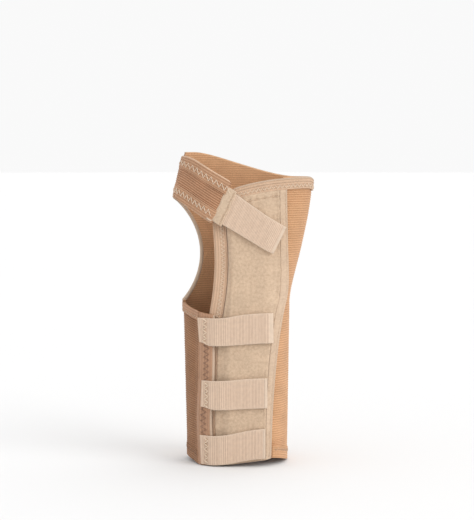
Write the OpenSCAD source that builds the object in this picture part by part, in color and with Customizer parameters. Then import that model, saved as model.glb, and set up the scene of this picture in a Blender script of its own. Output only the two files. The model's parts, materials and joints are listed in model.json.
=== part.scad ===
// Elastic wrist splint for a left hand, closed as it is worn, with a removable palmar stay.
// Every fabric piece is a thin sheet laid on one limb surface, which the module sheet() thickens.
// +X is the little-finger side, -X the thumb side, -Y the palm side, +Z towards the fingers.

/* [Overall] */
// Height of the radial end of the knuckle edge above the hem
splint_h = 182; // [179:1:186]
// Height of the palm edge at the little-finger side
palm_h = 167.5; // [165:0.5:169]
// Height of the wrist line above the hem
wrist_z = 95; // [93:1:97]
// Radius of the lengthwise bend that holds the wrist in slight extension
bend_r = 800; // [700:10:1200]
// How far the hem is cut up at the palm's little-finger side
hem_rise = 4.2; // [0:0.2:5]

/* [Limb section] */
// Width of the forearm inside the hem
forearm_w = 56; // [53:0.5:58]
// Width of the wrist inside the splint
wrist_w = 60; // [57:0.5:62]
// Width of the palm inside the splint
palm_w = 79.2; // [77:0.2:81]

/* [Fabric] */
// Thickness of the ribbed elastic
elastic_t = 1.5; // [1.2:0.1:1.6]
// Thickness of the brushed loop fabric over the stay
loop_t = 1.2; // [1:0.1:1.3]
// Thickness of an edge band
band_t = 0.75; // [0.5:0.05:0.8]
// Width of the wide zigzag-sewn edge bands
band_w = 7.5; // [6.5:0.5:8]
// Gap between layers of two parts that come apart
release_gap = 0.35; // [0.3:0.05:0.4]

/* [Straps] */
// Width of the three forearm straps
strap_w = 17.4; // [16:0.2:18]
// Thickness of the strap webbing
webbing_t = 1.2; // [1:0.1:1.3]
// Thickness of the hook patches under the strap ends
hook_t = 0.6; // [0.5:0.1:0.6]
// Width of the elastic thumb strap
thumb_strap_w = 25.2; // [24:0.2:26]
// Width of the hook tab where it leaves its keeper
thumb_tab_w = 19; // [18:0.2:20]
// Width of the hook tab at its free end
thumb_tab_end_w = 16.6; // [15:0.2:18]
// Fall of the thumb strap across the palm, in degrees
thumb_fall = 33; // [31:0.5:34]

/* [Stays] */
// Width of the palmar stay
stay_w = 18; // [16:0.5:18]
// Thickness of the palmar stay
stay_t = 1.6; // [1.5:0.1:1.8]
// Length of the palmar stay
stay_l = 144; // [136:1:146]
// Width of the two dorsal stays
dorsal_stay_w = 6; // [5:0.5:6.5]
// Thickness of the two dorsal stays
dorsal_stay_t = 1; // [0.8:0.1:1.1]

/* [Hidden] */

elastic_colour = "#C49A78";
edge_colour = "#CDB08C";
loop_colour = "#CDB692";
webbing_colour = "#DCC3A4";
metal_colour = "#C4C6C8";
nylon_colour = "#E9E2D4";

// The row origin lies under the middle of the object's box.
shift_x = 0.2;
shift_y = -20.9;

thumb_base_z = wrist_z - 0.5; // lowest point of the thumb hole
web_z = 152;                  // highest point of the thumb hole, where the thumb strap starts
stay_x = 2.5;                 // the stay's centreline
stay_foot_z = 5;              // lower end of the stay
stay_gap = 0.4;               // air between the stay and its pocket's walls
flat_l = stay_x - stay_w / 2 - 1.5;  // the palm side is flat from here
flat_r = stay_x + stay_w / 2 + 1.5;  // to here, over the stay
pocket_l = flat_l + 0.8;
pocket_r = flat_r - 0.8;
lining_t = 0.8;
hinge_turn = 0.8;             // half the gap at a fabric hinge, in degrees of turn
band_setback = 5;             // edge bands stop this many degrees short of a fabric hinge
layer_gap = 0.08;             // air between layers sewn to each other
tuck = 2.3;                   // how far the elastic runs in under the palmar panel

// Heights above the limb's surface, layer by layer.
lining_top = lining_t;
stay_floor = lining_top + stay_gap;
pocket_h = stay_floor + stay_t + stay_gap + 0.25;
panel_top = pocket_h + loop_t;
band_floor = lining_top + layer_gap;
over_elastic = elastic_t + layer_gap;
thenar_top = band_floor + loop_t;
flap_rise = thenar_top + release_gap;
hooks_floor = panel_top + release_gap;
webbing_floor = hooks_floor + hook_t + layer_gap;
webbing_top = webbing_floor + webbing_t;

// ---- The limb's surface ------------------------------------------------------------------

// A smooth curve through stations [z, value, slope].
function profile(z, stations, i = 0) =
  z <= stations[0][0] ? stations[0][1] + stations[0][2] * (z - stations[0][0]) :
  i >= len(stations) - 1 ? stations[i][1] + stations[i][2] * (z - stations[i][0]) :
  z > stations[i + 1][0] ? profile(z, stations, i + 1) :
  let (a = stations[i], b = stations[i + 1], h = b[0] - a[0], s = (z - a[0]) / h)
    a[1] * (2 * s ^ 3 - 3 * s ^ 2 + 1) + a[2] * h * (s ^ 3 - 2 * s ^ 2 + s)
    + b[1] * (3 * s ^ 2 - 2 * s ^ 3) + b[2] * h * (s ^ 3 - s ^ 2);

function clamp(v, lo, hi) = min(hi, max(lo, v));
function ease(v) = let (s = clamp(v, 0, 1)) s * s * (3 - 2 * s);
function mix(a, b, s) = a + (b - a) * s;

forearm_slope = (wrist_w - forearm_w) / wrist_z;
ulnar_hem_x = 24.2;
ulnar_slope = 0.4 * forearm_slope;
radial_slope = ulnar_slope - forearm_slope;
radial_hem_x = ulnar_hem_x - forearm_w;
radial_stations = [
  [0, radial_hem_x, radial_slope],
  [wrist_z, radial_hem_x + wrist_z * radial_slope, radial_slope],
  [147, 39.1 - palm_w, 0],
  [159, 40.1 - palm_w, 0.2],
  [splint_h, 45.4 - palm_w, 0.24]
];
ulnar_stations = [
  [0, ulnar_hem_x, ulnar_slope],
  [wrist_z - 2, ulnar_hem_x + (wrist_z - 2) * ulnar_slope, ulnar_slope],
  [106, 27.7, 0.24],
  [127, 33, 0.23],
  [162, 39.2, 0.08],
  [splint_h, 39.7, 0]
];
mid_stations = [
  [0, 21.5, 0.0284],
  [wrist_z, 24.2, 0.0284],
  [152, 29.1, 0.13],
  [splint_h, 34, 0.18]
];
dorsal_stations = [
  [0, 21, -0.02],
  [wrist_z, 18.5, -0.03],
  [152, 15, -0.06],
  [splint_h, 13.3, -0.04]
];

function radial_x(z) = profile(z, radial_stations);
function ulnar_x(z) = profile(z, ulnar_stations);
function palmar_y(z) = bend_r - sqrt(bend_r ^ 2 - z ^ 2);
function mid_y(z) = profile(z, mid_stations);
function dorsal_depth(z) = profile(z, dorsal_stations);
function palmar_depth(z) = mid_y(z) - palmar_y(z);
function mid_x(z) = (radial_x(z) + ulnar_x(z)) / 2;
function half_w(z) = (ulnar_x(z) - radial_x(z)) / 2;

// A turn says where a point lies round the limb: 0 little-finger side, 90 back, 180 thumb side,
// 270 palm. Each palm-side corner takes this many degrees of it, and the flat takes the rest.
corner = 70;
function wrapped(turn) = (turn % 360 + 360) % 360;

function limb_xy(turn, z) =
  let (w = wrapped(turn))
  w <= 180 ?
    [mid_x(z) + half_w(z) * cos(w), mid_y(z) + dorsal_depth(z) * sin(w)] :
  w < 180 + corner ?
    let (a = (w - 180) * 90 / corner)
      [flat_l - (flat_l - radial_x(z)) * cos(a), mid_y(z) - palmar_depth(z) * sin(a)] :
  w <= 360 - corner ?
    [mix(flat_l, flat_r, (w - 180 - corner) / (180 - 2 * corner)), palmar_y(z)] :
  let (a = (360 - w) * 90 / corner)
    [flat_r + (ulnar_x(z) - flat_r) * cos(a), mid_y(z) - palmar_depth(z) * sin(a)];

function limb_normal(turn, z) =
  let (
    w = wrapped(turn),
    a = w < 270 ? (w - 180) * 90 / corner : (360 - w) * 90 / corner,
    side = w < 270 ? radial_x(z) - flat_l : ulnar_x(z) - flat_r,
    n = w <= 180 ? [cos(w) / half_w(z), sin(w) / dorsal_depth(z)] :
      w > 180 + corner && w < 360 - corner ? [0, -1] : [cos(a) / side, -sin(a) / palmar_depth(z)]
  )
  n / norm(n);

function on_limb(turn, z, height) =
  let (p = limb_xy(turn, z) + height * limb_normal(turn, z))
  [p[0] - shift_x, p[1] + shift_y, z];

// The turn of a point on the palm side, from its X.
function turn_at(x, z) =
  x < flat_l ? 180 + corner / 90 * acos(clamp((flat_l - x) / (flat_l - radial_x(z)), 0, 1)) :
  x <= flat_r ? 180 + corner + (180 - 2 * corner) * (x - flat_l) / (flat_r - flat_l) :
  360 - corner / 90 * acos(clamp((x - flat_r) / (ulnar_x(z) - flat_r), 0, 1));

// ---- Outlines drawn on the palm side, as X against height ---------------------------------

// The palmar panel's thumb-side edge.
palmar_edge_stations = [
  [0, -21.5, 0.01], [80, -20.5, 0.08], [100, -17.8, 0.1], [116, -16.7, 0.02],
  [141, -17.9, -0.05], [splint_h, -18, 0]
];
// The palmar panel's little-finger-side seam.
seam_stations = [
  [0, 15.2, 0.02], [36, 16.2, 0.05], [86, 21, 0.16], [102, 24, 0.1],
  [120, 24.8, 0.01], [splint_h, 25, 0]
];
// The palm edge, as height against X.
palm_edge_stations = [
  [-18, palm_h - 17, 0.9], [-3.5, palm_h - 5.8, 0.32], [11, palm_h - 2.3, 0.18],
  [26, palm_h - 0.5, 0.08], [40, palm_h, 0]
];
// The flap's thumb-side edge, as height against X.
flap_edge_stations = [
  [-34, wrist_z - 2, -0.6], [-28.7, wrist_z - 4.8, -0.4], [-20, wrist_z - 6.8, -0.25],
  [-15, wrist_z - 7.8, -0.2]
];
closure_x = -16;              // the flap's free edge
closure_band_x = closure_x - band_w - 0.5;
seam_tape_w = 3.4;
palm_binding_w = 6.5;

function palmar_edge_x(z) = profile(z, palmar_edge_stations);
function seam_x(z) = profile(z, seam_stations);
function palm_edge_z(x) = profile(x, palm_edge_stations);
function flap_edge_z(x) = profile(x, flap_edge_stations);
function panel_l(z) = palmar_edge_x(z) + band_w + 0.2;
function tape_l(z) = seam_x(z) - mix(2.6, seam_tape_w + 0.9, ease(z / wrist_z));

// The knuckle edge rises from the little-finger side to the thumb side, round the back.
function knuckle_z(turn) = mix(palm_h, splint_h, ease((turn - 400) / 110));

// How far the loop panel stands off the limb: it steps up over the stay's pocket, whose mouth
// is at the palm edge.
function panel_floor(x, z) =
  x < pocket_l ? mix(band_floor, pocket_h, ease((x - panel_l(z)) / (pocket_l - panel_l(z)))) :
  x <= pocket_r ? pocket_h :
  mix(pocket_h, over_elastic, ease((x - pocket_r) / min(6, seam_x(z) - 0.4 - pocket_r)));

// The hem is cut in a shallow wave: it rises at the palm's little-finger side and over the
// thumb side, and stands on the back and on the flap's corner.
hem_low_turn = turn_at(-14, 0);
hem_peak_turn = turn_at(15.5, 0);
hem_back_turn = 366;
radial_hem_rise = 3.4;
radial_hem_reach = 45;        // degrees of turn
hem_taper = 15;               // the rows above the hem level out over this height
function hem_z(turn) =
  turn < hem_low_turn ? radial_hem_rise * ease((180 + radial_hem_reach - turn) / radial_hem_reach) :
  turn < hem_peak_turn ? hem_rise * (turn - hem_low_turn) / (hem_peak_turn - hem_low_turn) :
  turn < hem_back_turn ? hem_rise * ease((hem_back_turn - turn) / (hem_back_turn - hem_peak_turn)) :
  radial_hem_rise * ease((turn - 540 + radial_hem_reach) / radial_hem_reach);
function above_hem(turn, z) = z + hem_z(turn) * max(0, 1 - z / hem_taper);

// The flap steps up where it laps over the panel's edge.
function flap_floor(x) = flap_rise * ease((x + 28) / 5);

// ---- Sheets -------------------------------------------------------------------------------

function steps(from, to, n) = [for (i = [0 : n]) mix(from, to, i / n)];

// A closed solid between two surfaces over the limb. Each grid point is [turn, z, floor, top];
// turn grows along a row, and z grows from row to row.
module sheet(grid) {
  cols = len(grid[0]);
  rows = len(grid);
  count = rows * cols;
  floor_points = [for (row = grid, p = row) on_limb(p[0], p[1], p[2])];
  top_points = [for (row = grid, p = row) on_limb(p[0], p[1], p[3])];
  function at(r, c) = r * cols + c;
  function quad(a, b, c, d) = [[a, b, c], [a, c, d]];
  faces = [
    for (r = [0 : rows - 2], c = [0 : cols - 2])
      let (a = at(r, c), b = at(r, c + 1), d = at(r + 1, c + 1), e = at(r + 1, c))
        each concat(quad(a, b, d, e), quad(count + a, count + e, count + d, count + b)),
    for (c = [0 : cols - 2])
      let (a = at(0, c), b = at(0, c + 1), e = at(rows - 1, c), d = at(rows - 1, c + 1))
        each concat(quad(a, count + a, count + b, b), quad(e, d, count + d, count + e)),
    for (r = [0 : rows - 2])
      let (a = at(r, 0), b = at(r + 1, 0), e = at(r, cols - 1), d = at(r + 1, cols - 1))
        each concat(quad(a, b, count + b, count + a), quad(e, count + e, count + d, d))
  ];
  polyhedron(concat(floor_points, top_points), faces, convexity = 8);
}

// A grid point on the palm side, placed by X, and one that keeps its distance from the hem.
function palm_point(x, z, floor, top) = [turn_at(x, z), z, floor, top];
function hemmed_point(x, z, floor, top) =
  let (turn = turn_at(x, z)) [turn, above_hem(turn, z), floor, top];

// ---- The sleeve ---------------------------------------------------------------------------

hole_mid_z = (thumb_base_z + web_z) / 2;
hole_half = (web_z - thumb_base_z) / 2;
hole_reach = 50;              // how far the thumb hole cuts into the back, in degrees of turn
hole_steps = 12;
function hole_z(i) = hole_mid_z - hole_half * cos(180 * i / hole_steps);
function hole_turn(z) =
  540 - hinge_turn - hole_reach * sqrt(max(0, 1 - ((z - hole_mid_z) / hole_half) ^ 2));
function wrap_end(z) = z > thumb_base_z && z < web_z ? hole_turn(z) : 540 - hinge_turn;
function wrap_start(z) = turn_at(seam_x(z) - tuck, z);

wrap_cols = 30;
wrap_rows = concat(
  steps(0, thumb_base_z - 10, 7),
  [thumb_base_z - 4],
  [for (i = [0 : hole_steps]) hole_z(i)],
  [159, 166, 173, splint_h]
);
// Above the thumb hole the rows bend to follow the knuckle edge.
function wrap_z(z, turn) =
  z <= web_z ? above_hem(turn, z)
    : mix(web_z, knuckle_z(turn), (z - web_z) / (splint_h - web_z));

module elastic_wrap() {
  color(elastic_colour)
    sheet([for (z = wrap_rows) [
      for (i = [0 : wrap_cols])
        let (turn = mix(wrap_start(z), wrap_end(z), i / wrap_cols))
          [turn, wrap_z(z, turn), 0, elastic_t]
    ]]);
}

palm_rows = concat(steps(0, 84, 6), [92, 100, 110, 120, 130, 140]);

// Heights of the rows of a palm piece: level at first, then bending to the palm edge.
function palm_row_z(row, x, drop, extra_rows) =
  row < len(palm_rows) ? palm_rows[row] :
  mix(palm_rows[len(palm_rows) - 1], palm_edge_z(x) - drop,
      (row - len(palm_rows) + 1) / extra_rows);

module palmar_lining() {
  color(edge_colour)
    sheet([for (row = [0 : len(palm_rows) + 2]) [
      for (s = steps(0, 1, 8))
        let (
          level = palm_rows[min(row, len(palm_rows) - 1)],
          x = mix(palmar_edge_x(level), seam_x(level) - tuck - 0.3, s)
        )
          hemmed_point(x, palm_row_z(row, x, 0, 3), 0, lining_top)
    ]]);
}

module palmar_loop_panel() {
  color(loop_colour)
    sheet([for (row = [0 : len(palm_rows) + 3]) [
      let (
        level = palm_rows[min(row, len(palm_rows) - 1)],
        left = panel_l(level),
        right = tape_l(level),
        stops = concat(
          [left, mix(left, pocket_l, 0.5)],
          steps(pocket_l, pocket_r, 3),
          right > pocket_r + 1 ? steps(mix(pocket_r, right, 0.25), right, 3)
            : steps(pocket_r + 0.1, max(right, pocket_r + 0.4), 3)
        )
      )
      for (x = stops)
        let (z = palm_row_z(row, x, palm_binding_w + 0.3, 4), h = panel_floor(x, z))
          hemmed_point(x, z, h, h + loop_t)
    ]]);
}

module ulnar_seam_tape() {
  color(webbing_colour)
    sheet([for (row = [0 : len(palm_rows) + 3]) [
      let (level = palm_rows[min(row, len(palm_rows) - 1)])
      for (x = steps(max(tape_l(level), pocket_r + 0.4) + 0.15, seam_x(level), 3))
        let (z = palm_row_z(row, x, palm_binding_w + 0.3, 4), h = panel_floor(x, z))
          hemmed_point(x, z, h, h + loop_t)
    ]]);
}

module thenar_edge_band() {
  color(edge_colour)
    sheet([for (row = [0 : len(palm_rows) + 3]) [
      let (level = palm_rows[min(row, len(palm_rows) - 1)])
      for (x = steps(palmar_edge_x(level), palmar_edge_x(level) + band_w, 2))
        hemmed_point(x, palm_row_z(row, x, palm_binding_w + 0.3, 4), band_floor, thenar_top)
    ]]);
}

// Runs along the palm edge above the panel, over the pocket's mouth, and on over the elastic.
module palm_edge_binding() {
  edge_x = concat(
    [palmar_edge_x(palm_h), -12.5, -9.5],
    steps(pocket_l, pocket_r, 3),
    steps(pocket_r + 1.5, seam_x(palm_h) + 1, 6)
  );
  ulnar_turn = turn_at(seam_x(palm_h) + 1, palm_h);
  color(edge_colour)
    sheet([for (s = [0, 1]) concat(
      [for (x = edge_x)
        let (z = palm_edge_z(x) - palm_binding_w * (1 - s), floor = panel_floor(x, z) + layer_gap)
          palm_point(x, z, floor, floor + band_t)],
      [for (i = [1 : 5])
        let (turn = mix(ulnar_turn, 360, i / 5), floor = over_elastic + layer_gap)
          [turn, knuckle_z(turn) - palm_binding_w * (1 - s), floor, floor + band_t]]
    )]);
}

module dorsal_edge_binding() {
  color(edge_colour)
    sheet([for (s = [0, 1]) [
      for (turn = steps(361, 540 - band_setback, 24))
        [turn, knuckle_z(turn) - palm_binding_w * (1 - s), over_elastic, over_elastic + band_t]
    ]]);
}

// Follows the rim of the thumb hole on the back of the hand.
module thumb_hole_binding() {
  rim_w = 10;                 // in degrees of turn
  color(edge_colour)
    sheet([for (i = [1 : hole_steps - 1])
      let (z = hole_z(i), rim = hole_turn(z))
        [for (turn = [rim - rim_w, rim - rim_w / 2, rim])
          [turn, z, over_elastic, over_elastic + band_t]]
    ]);
}

hem_h = 7;
hem_clear = 0.25;             // the hem stands straight while the limb widens
module hem_stretch(from, to, n) {
  floor = over_elastic + hem_clear;
  sheet([for (z = [0, hem_h]) [
    for (turn = steps(from, to, n)) [turn, z + hem_z(turn), floor, floor + band_t]
  ]]);
}

// The band round the hem: its level stretch at the back is the face that the splint stands on.
module sleeve_hem_band() {
  level_end = 540 - radial_hem_reach;
  turns = steps(hem_back_turn, level_end, 20);
  ring = concat(
    [for (t = turns) on_limb(t, 0, over_elastic + hem_clear)],
    [for (i = [len(turns) - 1 : -1 : 0]) on_limb(turns[i], 0, over_elastic + hem_clear + band_t)]
  );
  color(edge_colour) {
    linear_extrude(hem_h) polygon([for (p = ring) [p[0], p[1]]]);
    hem_stretch(turn_at(seam_x(0) + 0.6, 0), hem_back_turn - 0.2, 7);
    hem_stretch(level_end + 0.2, 540 - band_setback, 5);
  }
}

// ---- Dorsal stays in sewn channels ---------------------------------------------------------

radial_stay_turn = 103;
ulnar_stay_turn = 60;
channel_foot_z = 9;
channel_top_z = 156;
channel_rows = steps(channel_foot_z, channel_top_z, 12);
function degrees_of(width, z) = width / half_w(z) * 180 / PI;

module dorsal_channel(turn) {
  stay_side = dorsal_stay_w / 2 + 0.4;
  side = 6.5;                 // half the channel tape's width
  roof = over_elastic + dorsal_stay_t + 0.25;
  color(edge_colour)
    sheet([for (z = channel_rows) [
      for (x = [side, stay_side + 1.2, stay_side, 0, -stay_side, -stay_side - 1.2, -side])
        let (h = abs(x) > stay_side + 1 ? over_elastic : roof)
          [turn + 360 - degrees_of(x, z), z, h, h + 0.6]
    ]]);
}

module dorsal_stay(turn) {
  color(nylon_colour)
    sheet([for (z = steps(channel_foot_z + 3, channel_top_z - 3, 12)) [
      for (x = [dorsal_stay_w / 2, 0, -dorsal_stay_w / 2])
        [turn + 360 - degrees_of(x, z), z, over_elastic + 0.1, over_elastic + 0.1 + dorsal_stay_t]
    ]]);
}

// ---- The flap that closes over the panel ---------------------------------------------------

flap_cols = concat(steps(0, 0.5, 6), steps(0.56, 1, 7));
function flap_turn(s, z) = mix(180 + hinge_turn, turn_at(closure_x, z), s);

module radial_flap() {
  color(elastic_colour)
    sheet([for (row = steps(0, 1, 9)) [
      for (s = flap_cols)
        let (
          x = limb_xy(flap_turn(s, wrist_z), wrist_z)[0],
          z = row * flap_edge_z(x),
          turn = flap_turn(s, z),
          floor = flap_floor(limb_xy(turn, z)[0])
        )
          [turn, above_hem(turn, z), floor, floor + elastic_t]
    ]]);
}

module closure_edge_band() {
  color(edge_colour)
    sheet([for (row = steps(0, 1, 9)) [
      for (x = concat(steps(closure_band_x, closure_band_x + 2.5, 2), [-18, closure_x]))
        let (z = row * flap_edge_z(x), floor = flap_floor(x) + over_elastic)
          hemmed_point(x, z, floor, floor + band_t)
    ]]);
}

module flap_thumb_binding() {
  binding_w = 5;
  color(edge_colour)
    sheet([for (s = [0, 1]) [
      for (turn = steps(180 + band_setback, turn_at(closure_band_x - 0.4, wrist_z - 6), 9))
        let (
          x = limb_xy(turn, wrist_z - 4)[0],
          z = flap_edge_z(x) - binding_w * (1 - s),
          floor = flap_floor(limb_xy(turn, z)[0]) + over_elastic
        )
          [turn, z, floor + 0.06, floor + 0.06 + band_t]
    ]]);
}

module flap_hem_band() {
  color(edge_colour)
    sheet([for (z = [0, hem_h]) [
      for (turn = steps(180 + band_setback, turn_at(closure_band_x - 0.4, 0), 9))
        let (floor = flap_floor(limb_xy(turn, z)[0]) + over_elastic + 0.06)
          [turn, z + hem_z(turn), floor, floor + band_t]
    ]]);
}

// ---- Forearm straps --------------------------------------------------------------------------

seam_line_x = -18.8;            // the stitch line about which the straps lift
sewn_end_l = 3.6;
// Each strap: height of its lower edge at the stitch line, X of its free end, rise along it.
upper_strap_at = [69.9, 15.6, 1.8];
middle_strap_at = [32.8, 13.4, 1.3];
lower_strap_at = [0.4, 12.6, 4.2];
hook_patch_l = 20;

function strap_z(strap, x, s) =
  strap[0] + s * strap_w + strap[2] * ease((x - seam_line_x) / (strap[1] - seam_line_x));
function strap_floor(x, z) =
  x <= pocket_r ? webbing_floor : webbing_floor - pocket_h + panel_floor(x, z);

module strap_sheet(strap, stations, lower, upper, edge) {
  sheet([for (s = [edge, 0.5, 1 - edge]) [
    for (x = stations)
      let (z = strap_z(strap, x, s), floor = strap_floor(x, z))
        palm_point(x, z, floor + lower, floor + upper)
  ]]);
}

// The X positions over the hook patch, which stops one step short of the strap's end.
function patch_stations(strap) = steps(strap[1] - hook_patch_l, strap[1], 7);

module strap_webbing(strap) {
  patch = patch_stations(strap);
  color(webbing_colour)
    strap_sheet(strap, concat(steps(seam_line_x + 0.2, patch[0] - 2, 5), patch),
                0, webbing_t, 0);
}

module strap_hooks(strap) {
  patch = patch_stations(strap);
  color(nylon_colour)
    strap_sheet(strap, [for (i = [0 : len(patch) - 2]) patch[i]],
                -hook_t - layer_gap, -layer_gap, 0.06);
}

module strap_sewn_end(strap) {
  color(webbing_colour)
    sheet([for (s = [0, 0.5, 1]) [
      for (x = steps(seam_line_x - sewn_end_l, seam_line_x, 4))
        let (
          z = strap_z(strap, x, s),
          floor = flap_floor(x) + over_elastic + band_t + 0.2
        )
          palm_point(x, z, floor, floor + webbing_t)
    ]]);
}

// ---- Thumb strap -----------------------------------------------------------------------------

// The strap's centreline falls from this point on the thumb-side fold, across the palm.
thumb_fold_x = -38;
thumb_fold_z = 169.4;
keeper_from = 29.4;           // along the centreline
keeper_to = 35.8;
tab_to = 69.1;
tab_skew = 0.17;              // the keeper and the tab's end lean, as distance along per across
tab_drop = 0.9;               // they lie a little below the centreline
fold_narrowing = 0.17;        // the strap's upper half is narrower by this share at the fold
function thumb_x(s, t) = thumb_fold_x + s * cos(thumb_fall) + t * sin(thumb_fall);
function thumb_z(s, t) = thumb_fold_z - s * sin(thumb_fall) + t * cos(thumb_fall);

// The distance along the strap at which it passes a given turn, by repeated correction.
function thumb_s(turn, t, s = 0, n = 7) =
  n == 0 ? s :
  thumb_s(turn, t,
          (limb_xy(turn, thumb_z(s, t))[0] - thumb_fold_x - t * sin(thumb_fall)) / cos(thumb_fall),
          n - 1);

// The strap leaves the hand and climbs on to the palmar panel.
thumb_rise = hooks_floor - 0.1;
function thumb_floor(x) = thumb_rise * ease((x + 35) / 21);

function narrowed(turn, t) = t - max(t, 0) * fold_narrowing * (1 - ease((turn - 180) / 40));

// A band of the elastic stretch of the strap, between two distances across it.
module thumb_band(across, lower, upper, first_turn) {
  sheet([for (t = across)
    let (
      s_end = keeper_from - 0.15 - tab_skew * t,
      last_turn = turn_at(thumb_x(s_end, t), thumb_z(s_end, t))
    )
      [for (turn = steps(first_turn, last_turn, 12))
        let (
          across_here = narrowed(turn, t),
          z = thumb_z(thumb_s(turn, across_here), across_here),
          floor = thumb_floor(limb_xy(turn, z)[0])
        )
          [turn, z, floor + lower, floor + upper]]
  ]);
}

module thumb_strap_elastic() {
  color(elastic_colour)
    thumb_band(steps(-thumb_strap_w / 2, thumb_strap_w / 2, 4), 0, elastic_t, 180 + hinge_turn);
}

module thumb_strap_edge(side) {
  inner = thumb_strap_w / 2 - band_w;
  outer = thumb_strap_w / 2;
  color(edge_colour)
    thumb_band(side > 0 ? steps(inner, outer, 2) : steps(-outer, -inner, 2),
               over_elastic, over_elastic + band_t, 180 + band_setback);
}

function tab_half(s) =
  mix(thumb_tab_w, thumb_tab_end_w, max(0, s - keeper_to) / (tab_to - keeper_to)) / 2;

// A stretch of the tab, or of a piece wider than it by margin on each side.
module tab_sheet(from, to, cols, margin, floor, top) {
  sheet([for (side = [-1, 0, 1]) [
    for (s = steps(from, to, cols))
      let (t = side * (tab_half(s) + margin) - tab_drop, along = s - tab_skew * t)
        palm_point(thumb_x(along, t), thumb_z(along, t), floor, top)
  ]]);
}

module thumb_strap_keeper() {
  color(loop_colour)
    tab_sheet(keeper_from, keeper_to, 3, 1.2, thumb_rise, webbing_top);
}

module thumb_hook_tab() {
  color(webbing_colour)
    tab_sheet(keeper_to + 0.3, tab_to, 8, 0, webbing_floor, webbing_top);
}

module thumb_tab_hooks() {
  color(nylon_colour)
    tab_sheet(keeper_to + 7, tab_to - 2, 5, -1,
              hooks_floor, hooks_floor + hook_t - layer_gap);
}

// ---- Palmar stay -----------------------------------------------------------------------------

// A flat strip bent to the radius of the palm side, so that it slides along its own curve.
// That curve's centre lies behind the splint, level with the hem.
module palmar_stay() {
  near = bend_r + stay_floor;
  far = near + stay_t;
  foot_angle = asin(stay_foot_z / far);
  top_z = stay_foot_z + stay_l;
  color(metal_colour)
    intersection() {
      translate([stay_x - shift_x - stay_w / 2, bend_r + shift_y, 0])
        rotate([90, 0, 90])
          rotate([0, 0, 180 - asin(top_z / near) - 1])
            rotate_extrude(angle = asin(top_z / near) - foot_angle + 2)
              translate([near, 0]) square([stay_t, stay_w]);
      translate([stay_x - shift_x, 0, 0])
        rotate([90, 0, 0])
          linear_extrude(200, center = true) {
            translate([0, stay_foot_z + stay_w / 2]) circle(d = stay_w, $fn = 64);
            translate([0, top_z - stay_w / 2]) circle(d = stay_w, $fn = 64);
            translate([-stay_w / 2, stay_foot_z + stay_w / 2]) square([stay_w, stay_l - stay_w]);
          }
    }
}

elastic_wrap();
palmar_lining();
palmar_loop_panel();
ulnar_seam_tape();
thenar_edge_band();
palm_edge_binding();
dorsal_edge_binding();
thumb_hole_binding();
sleeve_hem_band();
dorsal_channel(radial_stay_turn);  // dorsal_channel_radial
dorsal_channel(ulnar_stay_turn);  // dorsal_channel_ulnar
dorsal_stay(radial_stay_turn);  // dorsal_stay_radial
dorsal_stay(ulnar_stay_turn);  // dorsal_stay_ulnar
radial_flap();
closure_edge_band();
flap_thumb_binding();
flap_hem_band();
strap_sewn_end(upper_strap_at);  // upper_strap_sewn_end
strap_sewn_end(middle_strap_at);  // middle_strap_sewn_end
strap_sewn_end(lower_strap_at);  // lower_strap_sewn_end
strap_webbing(upper_strap_at);  // upper_strap
strap_webbing(middle_strap_at);  // middle_strap
strap_webbing(lower_strap_at);  // lower_strap
strap_hooks(upper_strap_at);  // upper_strap_hooks
strap_hooks(middle_strap_at);  // middle_strap_hooks
strap_hooks(lower_strap_at);  // lower_strap_hooks
thumb_strap_elastic();
thumb_strap_edge(1);  // thumb_strap_upper_band
thumb_strap_edge(-1);  // thumb_strap_lower_band
thumb_strap_keeper();
thumb_hook_tab();
thumb_tab_hooks();
palmar_stay();
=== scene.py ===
"""Looks of the elastic wrist splint. Every fabric piece is laid on the same limb surface as the CAD sheets.

Lengths are in millimetres until a mesh is made. A point on the limb is (turn, z, height): turn 0 is the
little-finger side, 90 the back, 180 the thumb side and 270 the palm, and height is outward from the skin.
"""
import json
import math

import bpy
import numpy as np
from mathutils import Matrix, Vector


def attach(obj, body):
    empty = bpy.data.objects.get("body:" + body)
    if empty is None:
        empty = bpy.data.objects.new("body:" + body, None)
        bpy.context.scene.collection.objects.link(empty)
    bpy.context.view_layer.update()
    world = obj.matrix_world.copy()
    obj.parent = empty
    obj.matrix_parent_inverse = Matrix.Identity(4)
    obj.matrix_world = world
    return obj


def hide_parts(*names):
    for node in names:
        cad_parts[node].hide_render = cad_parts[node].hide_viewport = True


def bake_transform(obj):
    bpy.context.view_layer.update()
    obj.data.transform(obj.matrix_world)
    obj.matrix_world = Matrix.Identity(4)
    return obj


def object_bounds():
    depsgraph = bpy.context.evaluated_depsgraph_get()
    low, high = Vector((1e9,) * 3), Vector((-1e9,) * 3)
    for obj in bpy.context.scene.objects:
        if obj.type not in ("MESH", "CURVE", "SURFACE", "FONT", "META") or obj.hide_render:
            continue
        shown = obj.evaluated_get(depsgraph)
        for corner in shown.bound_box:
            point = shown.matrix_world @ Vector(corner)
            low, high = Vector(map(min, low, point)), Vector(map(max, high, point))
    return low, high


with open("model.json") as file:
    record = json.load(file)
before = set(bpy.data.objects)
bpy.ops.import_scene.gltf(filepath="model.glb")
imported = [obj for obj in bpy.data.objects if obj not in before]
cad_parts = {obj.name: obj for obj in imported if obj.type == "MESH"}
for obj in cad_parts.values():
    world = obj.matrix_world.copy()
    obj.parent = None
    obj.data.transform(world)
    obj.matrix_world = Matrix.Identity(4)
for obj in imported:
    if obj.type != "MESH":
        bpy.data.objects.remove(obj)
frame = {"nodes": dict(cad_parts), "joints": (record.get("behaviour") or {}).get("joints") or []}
cad_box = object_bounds()
MM = 0.001


# ---- The limb, with the part's own stations ----

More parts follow.
